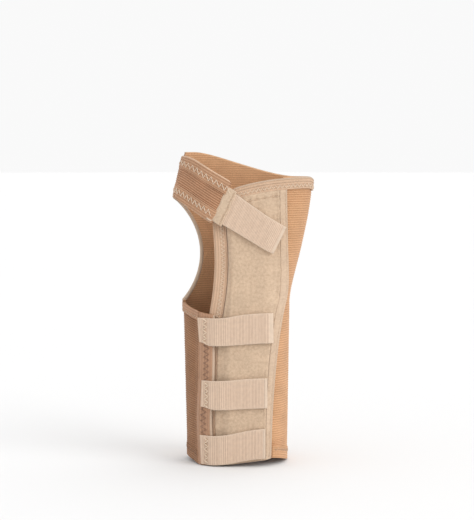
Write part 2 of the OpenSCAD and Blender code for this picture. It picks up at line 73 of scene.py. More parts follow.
SPLINT_H, PALM_H, WRIST_Z, BEND_R, HEM_RISE = 182.0, 167.5, 95.0, 800.0, 4.2
FOREARM_W, WRIST_W, PALM_W = 56.0, 60.0, 79.2
SHIFT_X, SHIFT_Y = 0.2, -20.9
ELASTIC_T, LOOP_T, BAND_T, BAND_W = 1.5, 1.2, 0.75, 7.5
STRAP_W, WEBBING_T = 17.4, 1.2
THUMB_STRAP_W, THUMB_FALL = 25.2, math.radians(33)
FLAT_L, FLAT_R, CORNER = -8.0, 13.0, 70.0
POCKET_L, POCKET_R = -7.2, 12.2
LINING_TOP, POCKET_H, BAND_FLOOR = 0.8, 3.45, 0.88
OVER_ELASTIC, THENAR_TOP, FLAP_RISE = 1.58, 2.08, 2.43
HOOKS_FLOOR, WEBBING_FLOOR, WEBBING_TOP = 5.0, 5.68, 6.88
THUMB_RISE = HOOKS_FLOOR - 0.1
PALM_BINDING_W = 6.5

forearm_slope = (WRIST_W - FOREARM_W) / WRIST_Z
ulnar_slope = 0.4 * forearm_slope
radial_slope = ulnar_slope - forearm_slope
ulnar_hem_x = 24.2
radial_hem_x = ulnar_hem_x - FOREARM_W
RADIAL = [[0, radial_hem_x, radial_slope], [WRIST_Z, radial_hem_x + WRIST_Z * radial_slope, radial_slope],
          [147, 39.1 - PALM_W, 0], [159, 40.1 - PALM_W, 0.2], [SPLINT_H, 45.4 - PALM_W, 0.24]]
ULNAR = [[0, ulnar_hem_x, ulnar_slope], [WRIST_Z - 2, ulnar_hem_x + (WRIST_Z - 2) * ulnar_slope, ulnar_slope],
         [106, 27.7, 0.24], [127, 33, 0.23], [162, 39.2, 0.08], [SPLINT_H, 39.7, 0]]
MIDDLE = [[0, 21.5, 0.0284], [WRIST_Z, 24.2, 0.0284], [152, 29.1, 0.13], [SPLINT_H, 34, 0.18]]
DORSAL = [[0, 21, -0.02], [WRIST_Z, 18.5, -0.03], [152, 15, -0.06], [SPLINT_H, 13.3, -0.04]]
PALMAR_EDGE = [[0, -21.5, 0.01], [80, -20.5, 0.08], [100, -17.8, 0.1], [116, -16.7, 0.02],
               [141, -17.9, -0.05], [SPLINT_H, -18, 0]]
SEAM = [[0, 15.2, 0.02], [36, 16.2, 0.05], [86, 21, 0.16], [102, 24, 0.1], [120, 24.8, 0.01],
        [SPLINT_H, 25, 0]]
PALM_EDGE = [[-18, PALM_H - 17, 0.9], [-3.5, PALM_H - 5.8, 0.32], [11, PALM_H - 2.3, 0.18],
             [26, PALM_H - 0.5, 0.08], [40, PALM_H, 0]]
FLAP_EDGE = [[-34, WRIST_Z - 2, -0.6], [-28.7, WRIST_Z - 4.8, -0.4], [-20, WRIST_Z - 6.8, -0.25],
             [-15, WRIST_Z - 7.8, -0.2]]


def profile(z, stations):
    """A smooth curve through stations [z, value, slope], straight beyond its ends."""
    st, z = np.array(stations, float), np.asarray(z, float)
    i = np.clip(np.searchsorted(st[:, 0], z, side="left") - 1, 0, len(st) - 2)
    za, va, sa = st[i, 0], st[i, 1], st[i, 2]
    zb, vb, sb = st[i + 1, 0], st[i + 1, 1], st[i + 1, 2]
    h = zb - za
    s = (z - za) / h
    v = (va * (2 * s**3 - 3 * s**2 + 1) + sa * h * (s**3 - 2 * s**2 + s)
         + vb * (3 * s**2 - 2 * s**3) + sb * h * (s**3 - s**2))
    v = np.where(z <= st[0, 0], st[0, 1] + st[0, 2] * (z - st[0, 0]), v)
    return np.where(z >= st[-1, 0], st[-1, 1] + st[-1, 2] * (z - st[-1, 0]), v)


def ease(v):
    s = np.clip(v, 0, 1)
    return s * s * (3 - 2 * s)


def mix(a, b, s):
    return a + (b - a) * s


def bell(v, centre, width):
    """A smooth bump of height 1 about a centre."""
    return np.exp(-(((v - centre) / width) ** 2))


def ripple(v, pitch):
    """A wave that is 1 at multiples of the pitch."""
    return np.cos(2 * math.pi * v / pitch)


def palmar_y(z):
    return BEND_R - np.sqrt(BEND_R**2 - np.asarray(z, float) ** 2)


def limb(turn, z):
    """The limb's outline and its outward normal."""
    w = np.mod(turn, 360.0)
    left, right, mid, back = profile(z, RADIAL), profile(z, ULNAR), profile(z, MIDDLE), profile(z, DORSAL)
    palm = mid - palmar_y(z)
    rad = np.radians(w)
    half = (right - left) / 2
    thumbward = w < 270
    a = np.radians(np.where(thumbward, w - 180, 360 - w) * 90 / CORNER)
    start = np.where(thumbward, FLAT_L, FLAT_R)
    reach = np.where(thumbward, left - FLAT_L, right - FLAT_R)
    corner_x = start + reach * np.cos(a)
    on_flat = (w >= 180 + CORNER) & (w <= 360 - CORNER)
    flat_x = mix(FLAT_L, FLAT_R, (w - 180 - CORNER) / (180 - 2 * CORNER))
    dorsal = w <= 180
    x = np.where(dorsal, (left + right) / 2 + half * np.cos(rad), np.where(on_flat, flat_x, corner_x))
    y = np.where(dorsal, mid + back * np.sin(rad), np.where(on_flat, palmar_y(z), mid - palm * np.sin(a)))
    nx = np.where(dorsal, np.cos(rad) / half, np.where(on_flat, 0, np.cos(a) / reach))
    ny = np.where(dorsal, np.sin(rad) / back, np.where(on_flat, -1, -np.sin(a) / palm))
    length = np.hypot(nx, ny)
    return x, y, nx / length, ny / length


def on_limb(turn, z, height):
    turn, z, height = np.broadcast_arrays(*(np.asarray(v, float) for v in (turn, z, height)))
    x, y, nx, ny = limb(turn, z)
    return np.stack([x + height * nx - SHIFT_X, y + height * ny + SHIFT_Y, z], -1)


def limb_x(turn, z):
    return limb(turn, z)[0]


def turn_at(x, z):
    """The turn of a point on the palm side, from its X."""
    x, z = np.broadcast_arrays(np.asarray(x, float), np.asarray(z, float))
    left, right = profile(z, RADIAL), profile(z, ULNAR)
    low = 180 + CORNER / 90 * np.degrees(np.arccos(np.clip((FLAT_L - x) / (FLAT_L - left), 0, 1)))
    high = 360 - CORNER / 90 * np.degrees(np.arccos(np.clip((x - FLAT_R) / (right - FLAT_R), 0, 1)))
    flat = 180 + CORNER + (180 - 2 * CORNER) * (x - FLAT_L) / (FLAT_R - FLAT_L)
    return np.where(x < FLAT_L, low, np.where(x <= FLAT_R, flat, high))


def palmar_edge_x(z):
    return profile(z, PALMAR_EDGE)


def seam_x(z):
    return profile(z, SEAM)


def palm_edge_z(x):
    return profile(x, PALM_EDGE)


def flap_edge_z(x):
    return profile(x, FLAP_EDGE)


def panel_l(z):
    return palmar_edge_x(z) + BAND_W + 0.2


def tape_l(z):
    return seam_x(z) - mix(2.6, 4.3, ease(np.asarray(z) / WRIST_Z))


def knuckle_z(turn):
    return mix(PALM_H, SPLINT_H, ease((turn - 400) / 110))


def panel_floor(x, z):
    left = mix(BAND_FLOOR, POCKET_H, ease((x - panel_l(z)) / (POCKET_L - panel_l(z))))
    right = mix(POCKET_H, OVER_ELASTIC, ease((x - POCKET_R) / np.minimum(6, seam_x(z) - 0.4 - POCKET_R)))
    return np.where(x < POCKET_L, left, np.where(x <= POCKET_R, POCKET_H, right))


HEM_LOW, HEM_PEAK, HEM_BACK = float(turn_at(-14, 0)), float(turn_at(15.5, 0)), 366.0
RADIAL_RISE, RADIAL_REACH, HEM_TAPER = 3.4, 45.0, 15.0


def hem_z(turn):
    turn = np.asarray(turn, float)
    thumb = RADIAL_RISE * ease((180 + RADIAL_REACH - turn) / RADIAL_REACH)
    front = HEM_RISE * (turn - HEM_LOW) / (HEM_PEAK - HEM_LOW)
    side = HEM_RISE * ease((HEM_BACK - turn) / (HEM_BACK - HEM_PEAK))
    back = RADIAL_RISE * ease((turn - 540 + RADIAL_REACH) / RADIAL_REACH)
    palm = np.where(turn < HEM_PEAK, front, np.where(turn < HEM_BACK, side, back))
    return np.where(turn < HEM_LOW, thumb, palm)


def above_hem(turn, z):
    return z + hem_z(turn) * np.maximum(0, 1 - z / HEM_TAPER)


def flap_floor(x):
    return FLAP_RISE * ease((x + 28) / 5)


FOLD_X, FOLD_Z = -38.0, 169.4      # where the thumb strap's middle line starts


def thumb_x(s, t):
    return FOLD_X + s * math.cos(THUMB_FALL) + t * math.sin(THUMB_FALL)


def thumb_z(s, t):
    return FOLD_Z - s * math.sin(THUMB_FALL) + t * math.cos(THUMB_FALL)


def thumb_s(turn, t):
    s = np.zeros(np.broadcast(turn, t).shape)
    for _ in range(9):
        s = (limb_x(turn, thumb_z(s, t)) - FOLD_X - t * math.sin(THUMB_FALL)) / math.cos(THUMB_FALL)
    return s


def thumb_floor(x):
    return THUMB_RISE * ease((x + 35) / 21)


# ---- Meshes ----

RIM = np.array([0, 0.05, 0.2, 0.45, 0.75, 1.0])  # where a rounded rim's rows lie, as shares of its radius


def rims_of(length, first, last):
    """The places of a rounded rim at each end of a length, or the bare end where its radius is 0."""
    start = first * RIM if first else np.zeros(1)
    return start, (length - (last * RIM)[::-1] if last else np.array([length]))


def lines(length, step, first=0.0, last=0.0):
    """Places along a length, set closer where a rounded rim starts or ends it."""
    a, b = rims_of(length, first, last)
    n = max(1, round((b[0] - a[-1]) / step))
    return np.concatenate([a, np.linspace(a[-1], b[0], n + 1)[1:-1], b])


def shares(length, step, first=0.0, last=0.0):
    """As lines(), from 0 to 1, as one row."""
    return (lines(length, step, first, last) / length)[None]


def ribbed(length, pitch, per, first=0.0, last=0.0):
    """As lines(), with the same few places on every rib, and the pitch that fits whole ribs."""
    n = round(length / pitch)
    even = np.arange(n * per + 1) * length / (n * per)
    even = even[(even > first * 1.02) & (even < length - last * 1.02)]
    a, b = rims_of(length, first, last)
    return np.concatenate([a, even, b]), length / n


def gone(points, axis=0):
    """The distance gone along a line of points, or along one way of a grid of them."""
    d = np.linalg.norm(np.diff(points, axis=axis), axis=-1)
    return np.concatenate([np.zeros_like(np.take(d, [0], axis)), np.cumsum(d, axis)], axis)


def run_of(turn, z):
    """Distance along each row of a grid."""
    return gone(on_limb(turn, z, 0), 1)


def unit(v):
    return v / np.maximum(np.linalg.norm(v, axis=1, keepdims=True), 1e-9)


def rings(centre, radius, side, up, sides, flat=1.0):
    """A ring of points round each centre, in the plane of its side and up directions."""
    ang = (np.arange(sides) * 2 * math.pi / sides)[None, :, None]
    return (centre[:, None] + radius * np.cos(ang) * side[:, None]
            + radius * flat * np.sin(ang) * up[:, None])


def link(name, data):
    obj = bpy.data.objects.new(name, data)
    bpy.context.scene.collection.objects.link(obj)
    return obj


class Piece:
    """Gathers fabric layers and threads, and becomes one mesh. The point attribute "cloth" holds the place in
    the cloth in millimetres, along and across, so that weave and ribs follow the fabric, and, third, the
    share of painted shade on the elastic's lower left front, which is turned away from the light."""

    def __init__(self):
        self.co, self.cloth, self.quads, self.mats, self.n = [], [], [], [], 0

    def add(self, co, cloth):
        self.co.append(np.reshape(co, (-1, 3)))
        self.cloth.append(np.reshape(cloth, (-1, 2)))
        first, self.n = self.n, self.n + len(self.co[-1])
        return first

    def face(self, a, b, c, d, mat):
        q = np.stack([np.ravel(v) for v in (a, b, c, d)], 1)
        self.quads.append(q)
        self.mats.append(np.broadcast_to(np.ravel(mat), (len(q),)))

    def shell(self, turn, z, low, high, a, b, rims, mat=0, bump=0.0, under=0.0):
        """A closed layer between two heights. rims are the radii of its first and last row and column
        edges, and 0 leaves that edge square. bump lifts the outer face and under dents the inner one."""
        turn, z, low, high, a, b, bump, under = np.broadcast_arrays(
            *(np.asarray(v, float) for v in (turn, z, low, high, a, b, bump, under)))
        mid, half = (low + high) / 2, (high - low) / 2
        base = on_limb(turn, z, mid)
        f = np.ones(turn.shape)
        for axis in (0, 1):
            run = gone(base, axis)
            rest = np.take(run, [-1], axis) - run
            for d, r in ((run, rims[2 * axis]), (rest, rims[2 * axis + 1])):
                if r:
                    s = np.clip(d / r, 0, 1)
                    f = np.minimum(f, np.sqrt(np.maximum(0, 1 - (1 - s) ** 2)))
        cloth = np.stack([a, b], -1)
        t0 = self.add(on_limb(turn, z, mid + (half + bump) * f), cloth)
        b0 = self.add(on_limb(turn, z, mid - (half - under) * f), cloth)
        rows, cols = turn.shape
        grid = np.arange(rows * cols).reshape(rows, cols)
        top = grid + t0
        low_ids = np.where(f < 1e-6, top, grid + b0)
        self.face(top[:-1, :-1], top[:-1, 1:], top[1:, 1:], top[1:, :-1], mat)
        self.face(low_ids[:-1, :-1], low_ids[1:, :-1], low_ids[1:, 1:], low_ids[:-1, 1:], mat)
        edge = np.ravel(mat)[0]
        self.face(top[0, :-1], low_ids[0, :-1], low_ids[0, 1:], top[0, 1:], edge)
        self.face(top[-1, 1:], low_ids[-1, 1:], low_ids[-1, :-1], top[-1, :-1], edge)
        self.face(low_ids[:-1, 0], top[:-1, 0], top[1:, 0], low_ids[1:, 0], edge)
        self.face(low_ids[1:, -1], top[1:, -1], top[:-1, -1], low_ids[:-1, -1], edge)

    def tube(self, turn, z, height, radius, mat, sides=5, flat=1.0):
        """A closed tube along a line on the limb: a thread, a roll or a cord. flat scales its height."""
        turn, z, height = np.broadcast_arrays(*(np.asarray(v, float) for v in (turn, z, height)))
        centre = on_limb(turn, z, height)
        up = on_limb(turn, z, height + 1) - centre
        along = unit(np.gradient(centre, axis=0))
        side = unit(np.cross(along, up))
        ring = rings(centre, radius, side, np.cross(side, along), sides, flat)
        ring[0, 0], ring[-1, 0] = centre[0], centre[-1]
        round_it = np.arange(sides) * 2 * math.pi / sides * radius
        first = self.add(ring, np.stack(np.broadcast_arrays(gone(centre)[:, None], round_it), -1))
        ids = np.arange(len(centre) * sides).reshape(-1, sides) + first
        ids[0], ids[-1] = ids[0, 0], ids[-1, 0]
        nxt = np.roll(ids, -1, 1)
        self.face(ids[:-1], ids[1:], nxt[1:], nxt[:-1], mat)

    def studs(self, roots, up, lean, height, radius, mat):
        """Rows of tiny hooks: each rises, bends over and ends blunt."""
        prof = np.array([[0, 0, 1.25], [0.02, 0.45, 1.0], [0.1, 0.82, 0.95], [0.34, 1.0, 0.85],
                         [0.6, 0.86, 0.5]])        # out, up and radius, as shares
        n, rows, sides = len(roots), len(prof), 4
        side = np.cross(up, lean)
        rows_of = []
        for k, (out, rise, r) in enumerate(prof):
            step = prof[min(k + 1, rows - 1)] - prof[max(k - 1, 0)]
            across = np.cross(side, unit(step[1] * up + step[0] * lean))
            rows_of.append(rings(roots + height * (rise * up + out * lean), radius * r, side, across, sides))
        first = self.add(np.stack(rows_of, 1), np.zeros((n * rows * sides, 2)))
        ids = np.arange(n * rows * sides).reshape(n, rows, sides) + first
        nxt = np.roll(ids, -1, 2)
        self.face(ids[:, :-1], nxt[:, :-1], nxt[:, 1:], ids[:, 1:], mat)
        self.face(*ids[:, -1].T, mat)
        self.face(*ids[:, 0, ::-1].T, mat)

    def make(self, name, materials, body=None, nodes=None):
        """Makes the mesh. It replaces the CAD node of its own name, unless nodes says which."""
        co, cloth = np.concatenate(self.co) * MM, np.concatenate(self.cloth)
        quads, mats = np.concatenate(self.quads), np.concatenate(self.mats)
        order = np.argsort(mats, kind="stable")
        quads, mats = quads[order], mats[order]
        same = np.stack([quads[:, k] == quads[:, (k + 1) % 4] for k in range(4)]).any(0)
        faces, index = quads[~same].tolist(), mats[~same].tolist()
        for q, m in zip(quads[same].tolist(), mats[same].tolist()):
            f = [q[k] for k in range(4) if q[k] != q[(k + 1) % 4]]
            if len(set(f)) == 3:
                faces.append(f)
                index.append(m)
        used, packed = np.unique([i for f in faces for i in f], return_inverse=True)
        ids = iter(packed.tolist())
        out = [[next(ids) for _ in f] for f in faces]
        mesh = bpy.data.meshes.new(name)
        mesh.from_pydata(co[used].tolist(), [], out)
        mesh.polygons.foreach_set("material_index", np.array(index, np.int32))
        x, y, z = (co[used] / MM).T
        # Painted shade: the share by which the elastic's lower left front, turned away from the key light, is
        # darkened.
        painted_shade = ease((13 - y) / 15) * ease((-9 - x) / 12) * ease((99 - z) / 5)
        place = np.column_stack([cloth[used], painted_shade])
        mesh.attributes.new("cloth", "FLOAT_VECTOR", "POINT").data.foreach_set(
            "vector", place.astype(np.float32).ravel())
        mesh.shade_smooth()
        mesh.set_sharp_from_angle(angle=math.radians(66))
        for m in materials:
            mesh.materials.append(m)
        mesh.update()
        obj = link(name, mesh)
        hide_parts(*(nodes or [name]))
        if body:
            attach(obj, body)
        return obj


def zigzag(start, end, pitch, centre, width, per=4):
    """(along, across, lift) of a zigzag thread; width 0 makes a straight row of stitches."""
    count = max(2, round((end - start) / (pitch / 2)))
    k = np.arange(count * per + 1) / per
    return (start + (end - start) * k / count, centre + width * (np.abs(k % 2 - 1) - 0.5),
            np.abs(np.sin(math.pi * k)))


def noise(x, y, scale, seed, octaves=3):
    """Smooth value noise in about -1 to 1, from sums of slanted sines."""
    r = np.random.default_rng(seed)
    out, gain = 0.0, 1.0
    for o in range(octaves):
        k = 2 * math.pi / scale * 1.9**o
        for _ in range(4):
            t, p, q = r.uniform(0, math.pi), r.uniform(0, 6.28), r.uniform(0.75, 1.3)
            bent = 1.3 * np.sin(k * 0.37 * (y * math.cos(t) - x * math.sin(t)) + q * 9)
            out = out + gain * 0.35 * np.sin(k * q * (x * math.cos(t) + y * math.sin(t)) + p + bent)
        gain *= 0.55
    return out / 1.6


# ---- Materials ----


class Nodes:
    def __init__(self, name, roughness, sheen=0.0, specular=0.3):
        self.mat = bpy.data.materials.new(name)
        self.mat.use_nodes = True
        self.tree = self.mat.node_tree
        self.shader = self.tree.nodes["Principled BSDF"]
        self.shader.inputs["Roughness"].default_value = roughness
        self.shader.inputs["Specular IOR Level"].default_value = specular
        self.shader.inputs["Sheen Weight"].default_value = sheen
        self.shader.inputs["Sheen Roughness"].default_value = 0.5

    def new(self, kind, values=(), **settings):
        n = self.tree.nodes.new("ShaderNode" + kind)
        for k, v in settings.items():
            setattr(n, k, v)
        for k, v in dict(values).items():
            if isinstance(v, bpy.types.NodeSocket):
                self.tree.links.new(v, n.inputs[k])
            else:
                n.inputs[k].default_value = v
        return n

    def math(self, op, a, b=0.0, c=0.0):
        return self.new("Math", {0: a, 1: b, 2: c}, operation=op).outputs[0]

    def cloth(self):
        n = self.new("Attribute", attribute_name="cloth")
        s = self.new("SeparateXYZ", {0: n.outputs["Vector"]})
        return n.outputs["Vector"], s.outputs[0], s.outputs[1]

    def place(self):
        return self.new("TexCoord").outputs["Object"]

    def noise(self, vector, scale, detail=2.0, rough=0.5):
        return self.new("TexNoise", {"Vector": vector, "Scale": scale, "Detail": detail,
                                     "Roughness": rough}).outputs["Fac"]

    def wave(self, x, pitch, phase=0.0):
        """From 0 to 1 and back over each pitch, 1 at multiples of it."""
        turn = self.math("MULTIPLY_ADD", x, 2 * math.pi / pitch, phase)
        return self.math("MULTIPLY_ADD", self.math("COSINE", turn), 0.5, 0.5)

    def span(self, v, low, high, a=0.0, b=1.0):
        return self.new("MapRange", {0: v, 1: low, 2: high, 3: a, 4: b}, clamp=True).outputs[0]

    def blend(self, fac, a, b, mode="MIX"):
        n = self.new("Mix", {"Factor": fac}, data_type="RGBA", blend_type=mode)
        for k, v in ((6, a), (7, b)):
            if isinstance(v, bpy.types.NodeSocket):
                self.tree.links.new(v, n.inputs[k])
            else:
                n.inputs[k].default_value = (*v, 1)
        return n.outputs[2]

    def weigh(self, a, share, b, rest):
        return self.math("MULTIPLY_ADD", a, share, self.math("MULTIPLY", b, rest))

    def toned(self, colour, tone):
        grey = self.new("CombineColor", {0: tone, 1: tone, 2: tone}).outputs[0]
        return self.blend(1.0, colour, grey, "MULTIPLY")

    def finish(self, colour, height, distance, strength=0.7):
        self.tree.links.new(colour, self.shader.inputs["Base Color"])
        bump = self.new("Bump", {"Strength": strength, "Distance": distance, "Height": height})
        self.tree.links.new(bump.outputs[0], self.shader.inputs["Normal"])
        return self.mat


def knit(name, crest, groove, pitch, yarn=0.62, rough=0.88, sheen=0.12, mottle=0.1, painted_shade=None):
    """Ribbed elastic: ribs along one way of the cloth, with a fine chain of yarn on each. The last argument
    gives the crest and groove colours of painted shade, laid where the third value of "cloth" marks the
    elastic's left side, turned away from the light."""
    m = Nodes(name, rough, sheen, 0.2)
    vector, along, across = m.cloth()
    rib = m.wave(across, pitch)
    shift = m.math("MULTIPLY", m.math("ROUND", m.math("DIVIDE", across, pitch)), 2.6)
    wobble = m.math("MULTIPLY", m.noise(vector, 1.1), 1.6)
    chain = m.wave(m.math("ADD", m.math("ADD", along, shift), wobble), yarn)
    fac = m.weigh(chain, 0.28, rib, 0.72)
    # Painted shade: crest and groove turn to the darker shaded colours by the share in the third value of
    # "cloth".
    if painted_shade:
        shade_share = m.new("SeparateXYZ", {0: vector}).outputs[2]
        crest, groove = (m.blend(shade_share, new, shaded) for new, shaded in zip((crest, groove), painted_shade))
    # Painted shade: the darker groove colour falls in the rib grooves and between the yarn loops, where shade
    # lies.
    colour = m.blend(m.span(fac, 0.1, 0.85), groove, crest)
    patch = m.span(m.noise(m.place(), 90, 3), 0.3, 0.7, 1 - mottle, 1 + mottle * 0.6)
    fine = m.span(m.noise(vector, 1.6, 3), 0.3, 0.7, 1 - mottle, 1 + mottle * 0.6)
    colour = m.toned(colour, m.math("MULTIPLY", patch, fine))
    return m.finish(colour, m.weigh(chain, 0.5, rib, 0.5), 0.00022)


def brushed(name, high, low, fleck, scale=1.0, rough=0.95, sheen=0.35):
    """Brushed loop fabric: matted fibres in soft tufts, with flecks of shade between them."""
    m = Nodes(name, rough, sheen, 0.12)
    vector = m.cloth()[0]
    tuft = m.noise(vector, 0.62 * scale, 4, 0.65)
    fibre = m.noise(vector, 2.6 * scale, 4, 0.75)
    cloud = m.noise(vector, 0.09 * scale, 2)
    colour = m.blend(m.span(tuft, 0.32, 0.62), low, high)
    colour = m.blend(m.span(fibre, 0.54, 0.78, 0, 0.55), colour, fleck)
    colour = m.toned(colour, m.span(cloud, 0.3, 0.7, 0.93, 1.05))
    return m.finish(colour, m.math("MULTIPLY_ADD", fibre, 0.45, tuft), 0.0005, 0.75)


def woven(name, crest, groove, pitch, weft=0.42, rough=0.8, sheen=0.15):
    """Fine ribbed webbing: ribs across the strap, crossed by close weft threads."""
    m = Nodes(name, rough, sheen, 0.25)
    vector, run, cross = m.cloth()
    rib = m.wave(run, pitch)
    shift = m.math("MULTIPLY", m.math("ROUND", m.math("DIVIDE", run, pitch)), math.pi)
    thread = m.wave(cross, weft)
    thread = m.math("ABSOLUTE", m.math("SUBTRACT", thread, m.math("MODULO", shift, 2 * math.pi)))
    thread = m.span(thread, 0, 2.2)
    fac = m.weigh(rib, 0.75, thread, 0.25)
    # Painted shade: the darker groove colour falls in the grooves between the strap's ribs.
    colour = m.blend(m.span(fac, 0.05, 0.8), groove, crest)
    colour = m.toned(colour, m.span(m.noise(vector, 0.5, 3), 0.3, 0.7, 0.94, 1.05))
    return m.finish(colour, m.weigh(thread, 0.4, rib, 0.6), 0.00012)


def yarn(name, colour, dark, rough=0.7):
    """Sewing thread with its twist."""
    m = Nodes(name, rough, 0.1, 0.35)
    _, a, b = m.cloth()
    twist = m.wave(m.math("ADD", a, b), 0.5)
    return m.finish(m.blend(m.span(twist, 0.1, 0.9), dark, colour), twist, 0.00004)


def nylon(name, colour, rough, through):
    m = Nodes(name, rough, 0.0, 0.5)
    cloud = m.noise(m.place(), 260, 3)
    tint = m.blend(m.span(cloud, 0.3, 0.7), [c * 0.9 for c in colour], colour)
    m.shader.inputs["Subsurface Weight"].default_value = through
    m.shader.inputs["Subsurface Scale"].default_value = 0.0008
    return m.finish(tint, cloud, 0.00003, 0.4)


def rolled_metal(name):
    """Rolled aluminium strip: fine lengthwise lines, soft stains and small handling marks."""
    m = Nodes(name, 0.34, 0.0, 0.5)
    m.shader.inputs["Metallic"].default_value = 1.0
    stretch = m.new("Mapping", {"Vector": m.place(), "Scale": (2600, 2600, 26)}).outputs[0]
    grain = m.noise(stretch, 1, 3)
    stain = m.noise(m.place(), 55, 4, 0.6)
    colour = m.blend(m.span(grain, 0.3, 0.7), (0.6, 0.61, 0.62), (0.76, 0.77, 0.78))
    rough = m.math("ADD", m.span(stain, 0.35, 0.7, 0.24, 0.42), m.math("MULTIPLY", grain, 0.08))
    m.tree.links.new(rough, m.shader.inputs["Roughness"])
    return m.finish(colour, grain, 0.00002, 0.5)


RIB = 1.35
# The two darker colours are painted shade for the elastic's lower left front, where it turns away from the
# light.
elastic = knit("elastic_knit", (0.7, 0.405, 0.222), (0.53, 0.29, 0.15), RIB,
               painted_shade=((0.43, 0.225, 0.118), (0.25, 0.12, 0.06)))
elastic_thumb = knit("thumb_strap_knit", (0.56, 0.31, 0.18), (0.35, 0.17, 0.09), THUMB_STRAP_W / 19)
edging = knit("edge_band_knit", (0.68, 0.47, 0.325), (0.56, 0.37, 0.245), 1.5, 0.5)
edging_thumb = knit("thumb_band_knit", (0.58, 0.335, 0.2), (0.43, 0.24, 0.14), 1.5, 0.5)
edging_brown = knit("closure_band_knit", (0.53, 0.31, 0.197), (0.44, 0.25, 0.157), 1.4, 0.5)
light_edge = knit("folded_edge_knit", (0.68, 0.52, 0.385), (0.52, 0.38, 0.275), 0.7, 0.4, mottle=0.05)
loop = brushed("brushed_loop", (0.66, 0.49, 0.345), (0.53, 0.38, 0.262), (0.41, 0.28, 0.185))
loop_smooth = brushed("smooth_tape", (0.66, 0.49, 0.35), (0.56, 0.405, 0.285), (0.46, 0.32, 0.22), 1.2,
                      0.92, 0.3)
webbing = woven("strap_webbing", (0.7, 0.53, 0.4), (0.54, 0.39, 0.29), 0.85)
webbing_edge = woven("strap_selvedge", (0.72, 0.57, 0.44), (0.6, 0.46, 0.35), 0.5, 0.35)
keeper_cloth = brushed("keeper_cloth", (0.66, 0.5, 0.36), (0.54, 0.395, 0.275), (0.44, 0.31, 0.21), 1.3)
lining_cloth = brushed("terry_lining", (0.66, 0.5, 0.37), (0.5, 0.36, 0.26), (0.42, 0.3, 0.2), 1.2)
thread_light = yarn("light_thread", (0.9, 0.76, 0.6), (0.66, 0.5, 0.36))
thread_brown = yarn("brown_thread", (0.4, 0.235, 0.15), (0.25, 0.14, 0.09))
thread_tan = yarn("tan_thread", (0.7, 0.52, 0.37), (0.46, 0.32, 0.22))
hook_nylon = nylon("hook_nylon", (0.78, 0.7, 0.6), 0.4, 0.15)
stay_nylon = nylon("stay_nylon", (0.8, 0.78, 0.72), 0.35, 0.3)
metal = rolled_metal("rolled_aluminium")


# ---- The sleeve's elastic ----

HOLE_FOOT, HOLE_TOP, HOLE_REACH, HOLE_TURN = WRIST_Z - 0.5, 155.2, 50.0, 539.5
HOLE_MID, HOLE_HALF = (HOLE_FOOT + HOLE_TOP) / 2, (HOLE_TOP - HOLE_FOOT) / 2
SPLIT_W = 69 * RIB          # the elastic's rows below this run on into the flap
SPLIT_TURN = 525.0
LAP_TURN = 533.0            # the sleeve ends here under the thumb strap
RIB_H = 0.2
RISE_FROM = 152.0           # above this the elastic's ribs rise with the hand end's edge


def hole_turn(z):
    """Where the elastic ends beside the thumb hole, tucked a little under the rim."""
    return HOLE_TURN - 0.8 - HOLE_REACH * np.sqrt(np.maximum(0, 1 - ((z - HOLE_MID) / HOLE_HALF) ** 2))


def cut(run, length):
    """A cloth's flat size and area, from its rows' lengths and the length across them."""
    ends = run[:, -1]
    return {"flat": (float(ends.max()) * MM, length * MM), "area": float(ends.mean()) * length * MM * MM}


def hand_edge(turn):
    """The hand end's edge, a little lower at the corner on the little-finger side."""
    return knuckle_z(turn) - 1.7 * bell(turn, 359, 11)


def wrap_start(z):
    return turn_at(seam_x(z) - 2.3, z)


def relief(w, a, seed):
    ribs = RIB_H * ripple(w, RIB) * (1 + 0.12 * noise(a, w, 9, seed, 2))
    return ribs + 0.05 * noise(a, w, 14, seed + 1, 2)


p = Piece()
w = ribbed(SPLIT_W, RIB, 4, 0.7)[0][:, None]
turn = mix(wrap_start(w), SPLIT_TURN, shares(182, 2.0, 0.6))
z = above_hem(turn, w)
a = run_of(turn, z)
p.shell(turn, z, 0, ELASTIC_T, a, w, (0.7, 0, 0.6, 0), bump=relief(w, a, 11), under=0.1 * ripple(w, RIB))
sleeve_low = p.make("sleeve_elastic_forearm", [elastic], "sleeve", ["elastic_wrap"])

p = Piece()
top_w = 135 * RIB
w = (SPLIT_W + ribbed(top_w - SPLIT_W, RIB, 4, 0, 0.7)[0])[:, None]
end = np.where((w > HOLE_FOOT) & (w < HOLE_TOP), hole_turn(w), np.where(w <= HOLE_FOOT, 538.7, LAP_TURN))
turn = mix(wrap_start(np.minimum(w, PALM_H)), end, shares(190, 2.0, 0.6, 0.7))
z = np.where(w <= RISE_FROM, w, mix(RISE_FROM, hand_edge(turn), (w - RISE_FROM) / (top_w - RISE_FROM)))
a = run_of(turn, z)
p.shell(turn, z, 0, ELASTIC_T, a, z, (0, 0.7, 0.6, 0.7), bump=relief(z, a, 11), under=0.1 * ripple(z, RIB))
sleeve_high = p.make("sleeve_elastic_hand", [elastic], "sleeve", ["elastic_wrap"])

CLOSURE_X = -16.3
GAP_Z = 26.0                # the gap between the flap and the panel is widest at this height


def closure_x(z):
    """The flap's free edge wanders a little between the straps."""
    return CLOSURE_X - 1.3 * bell(z, GAP_Z, 17)


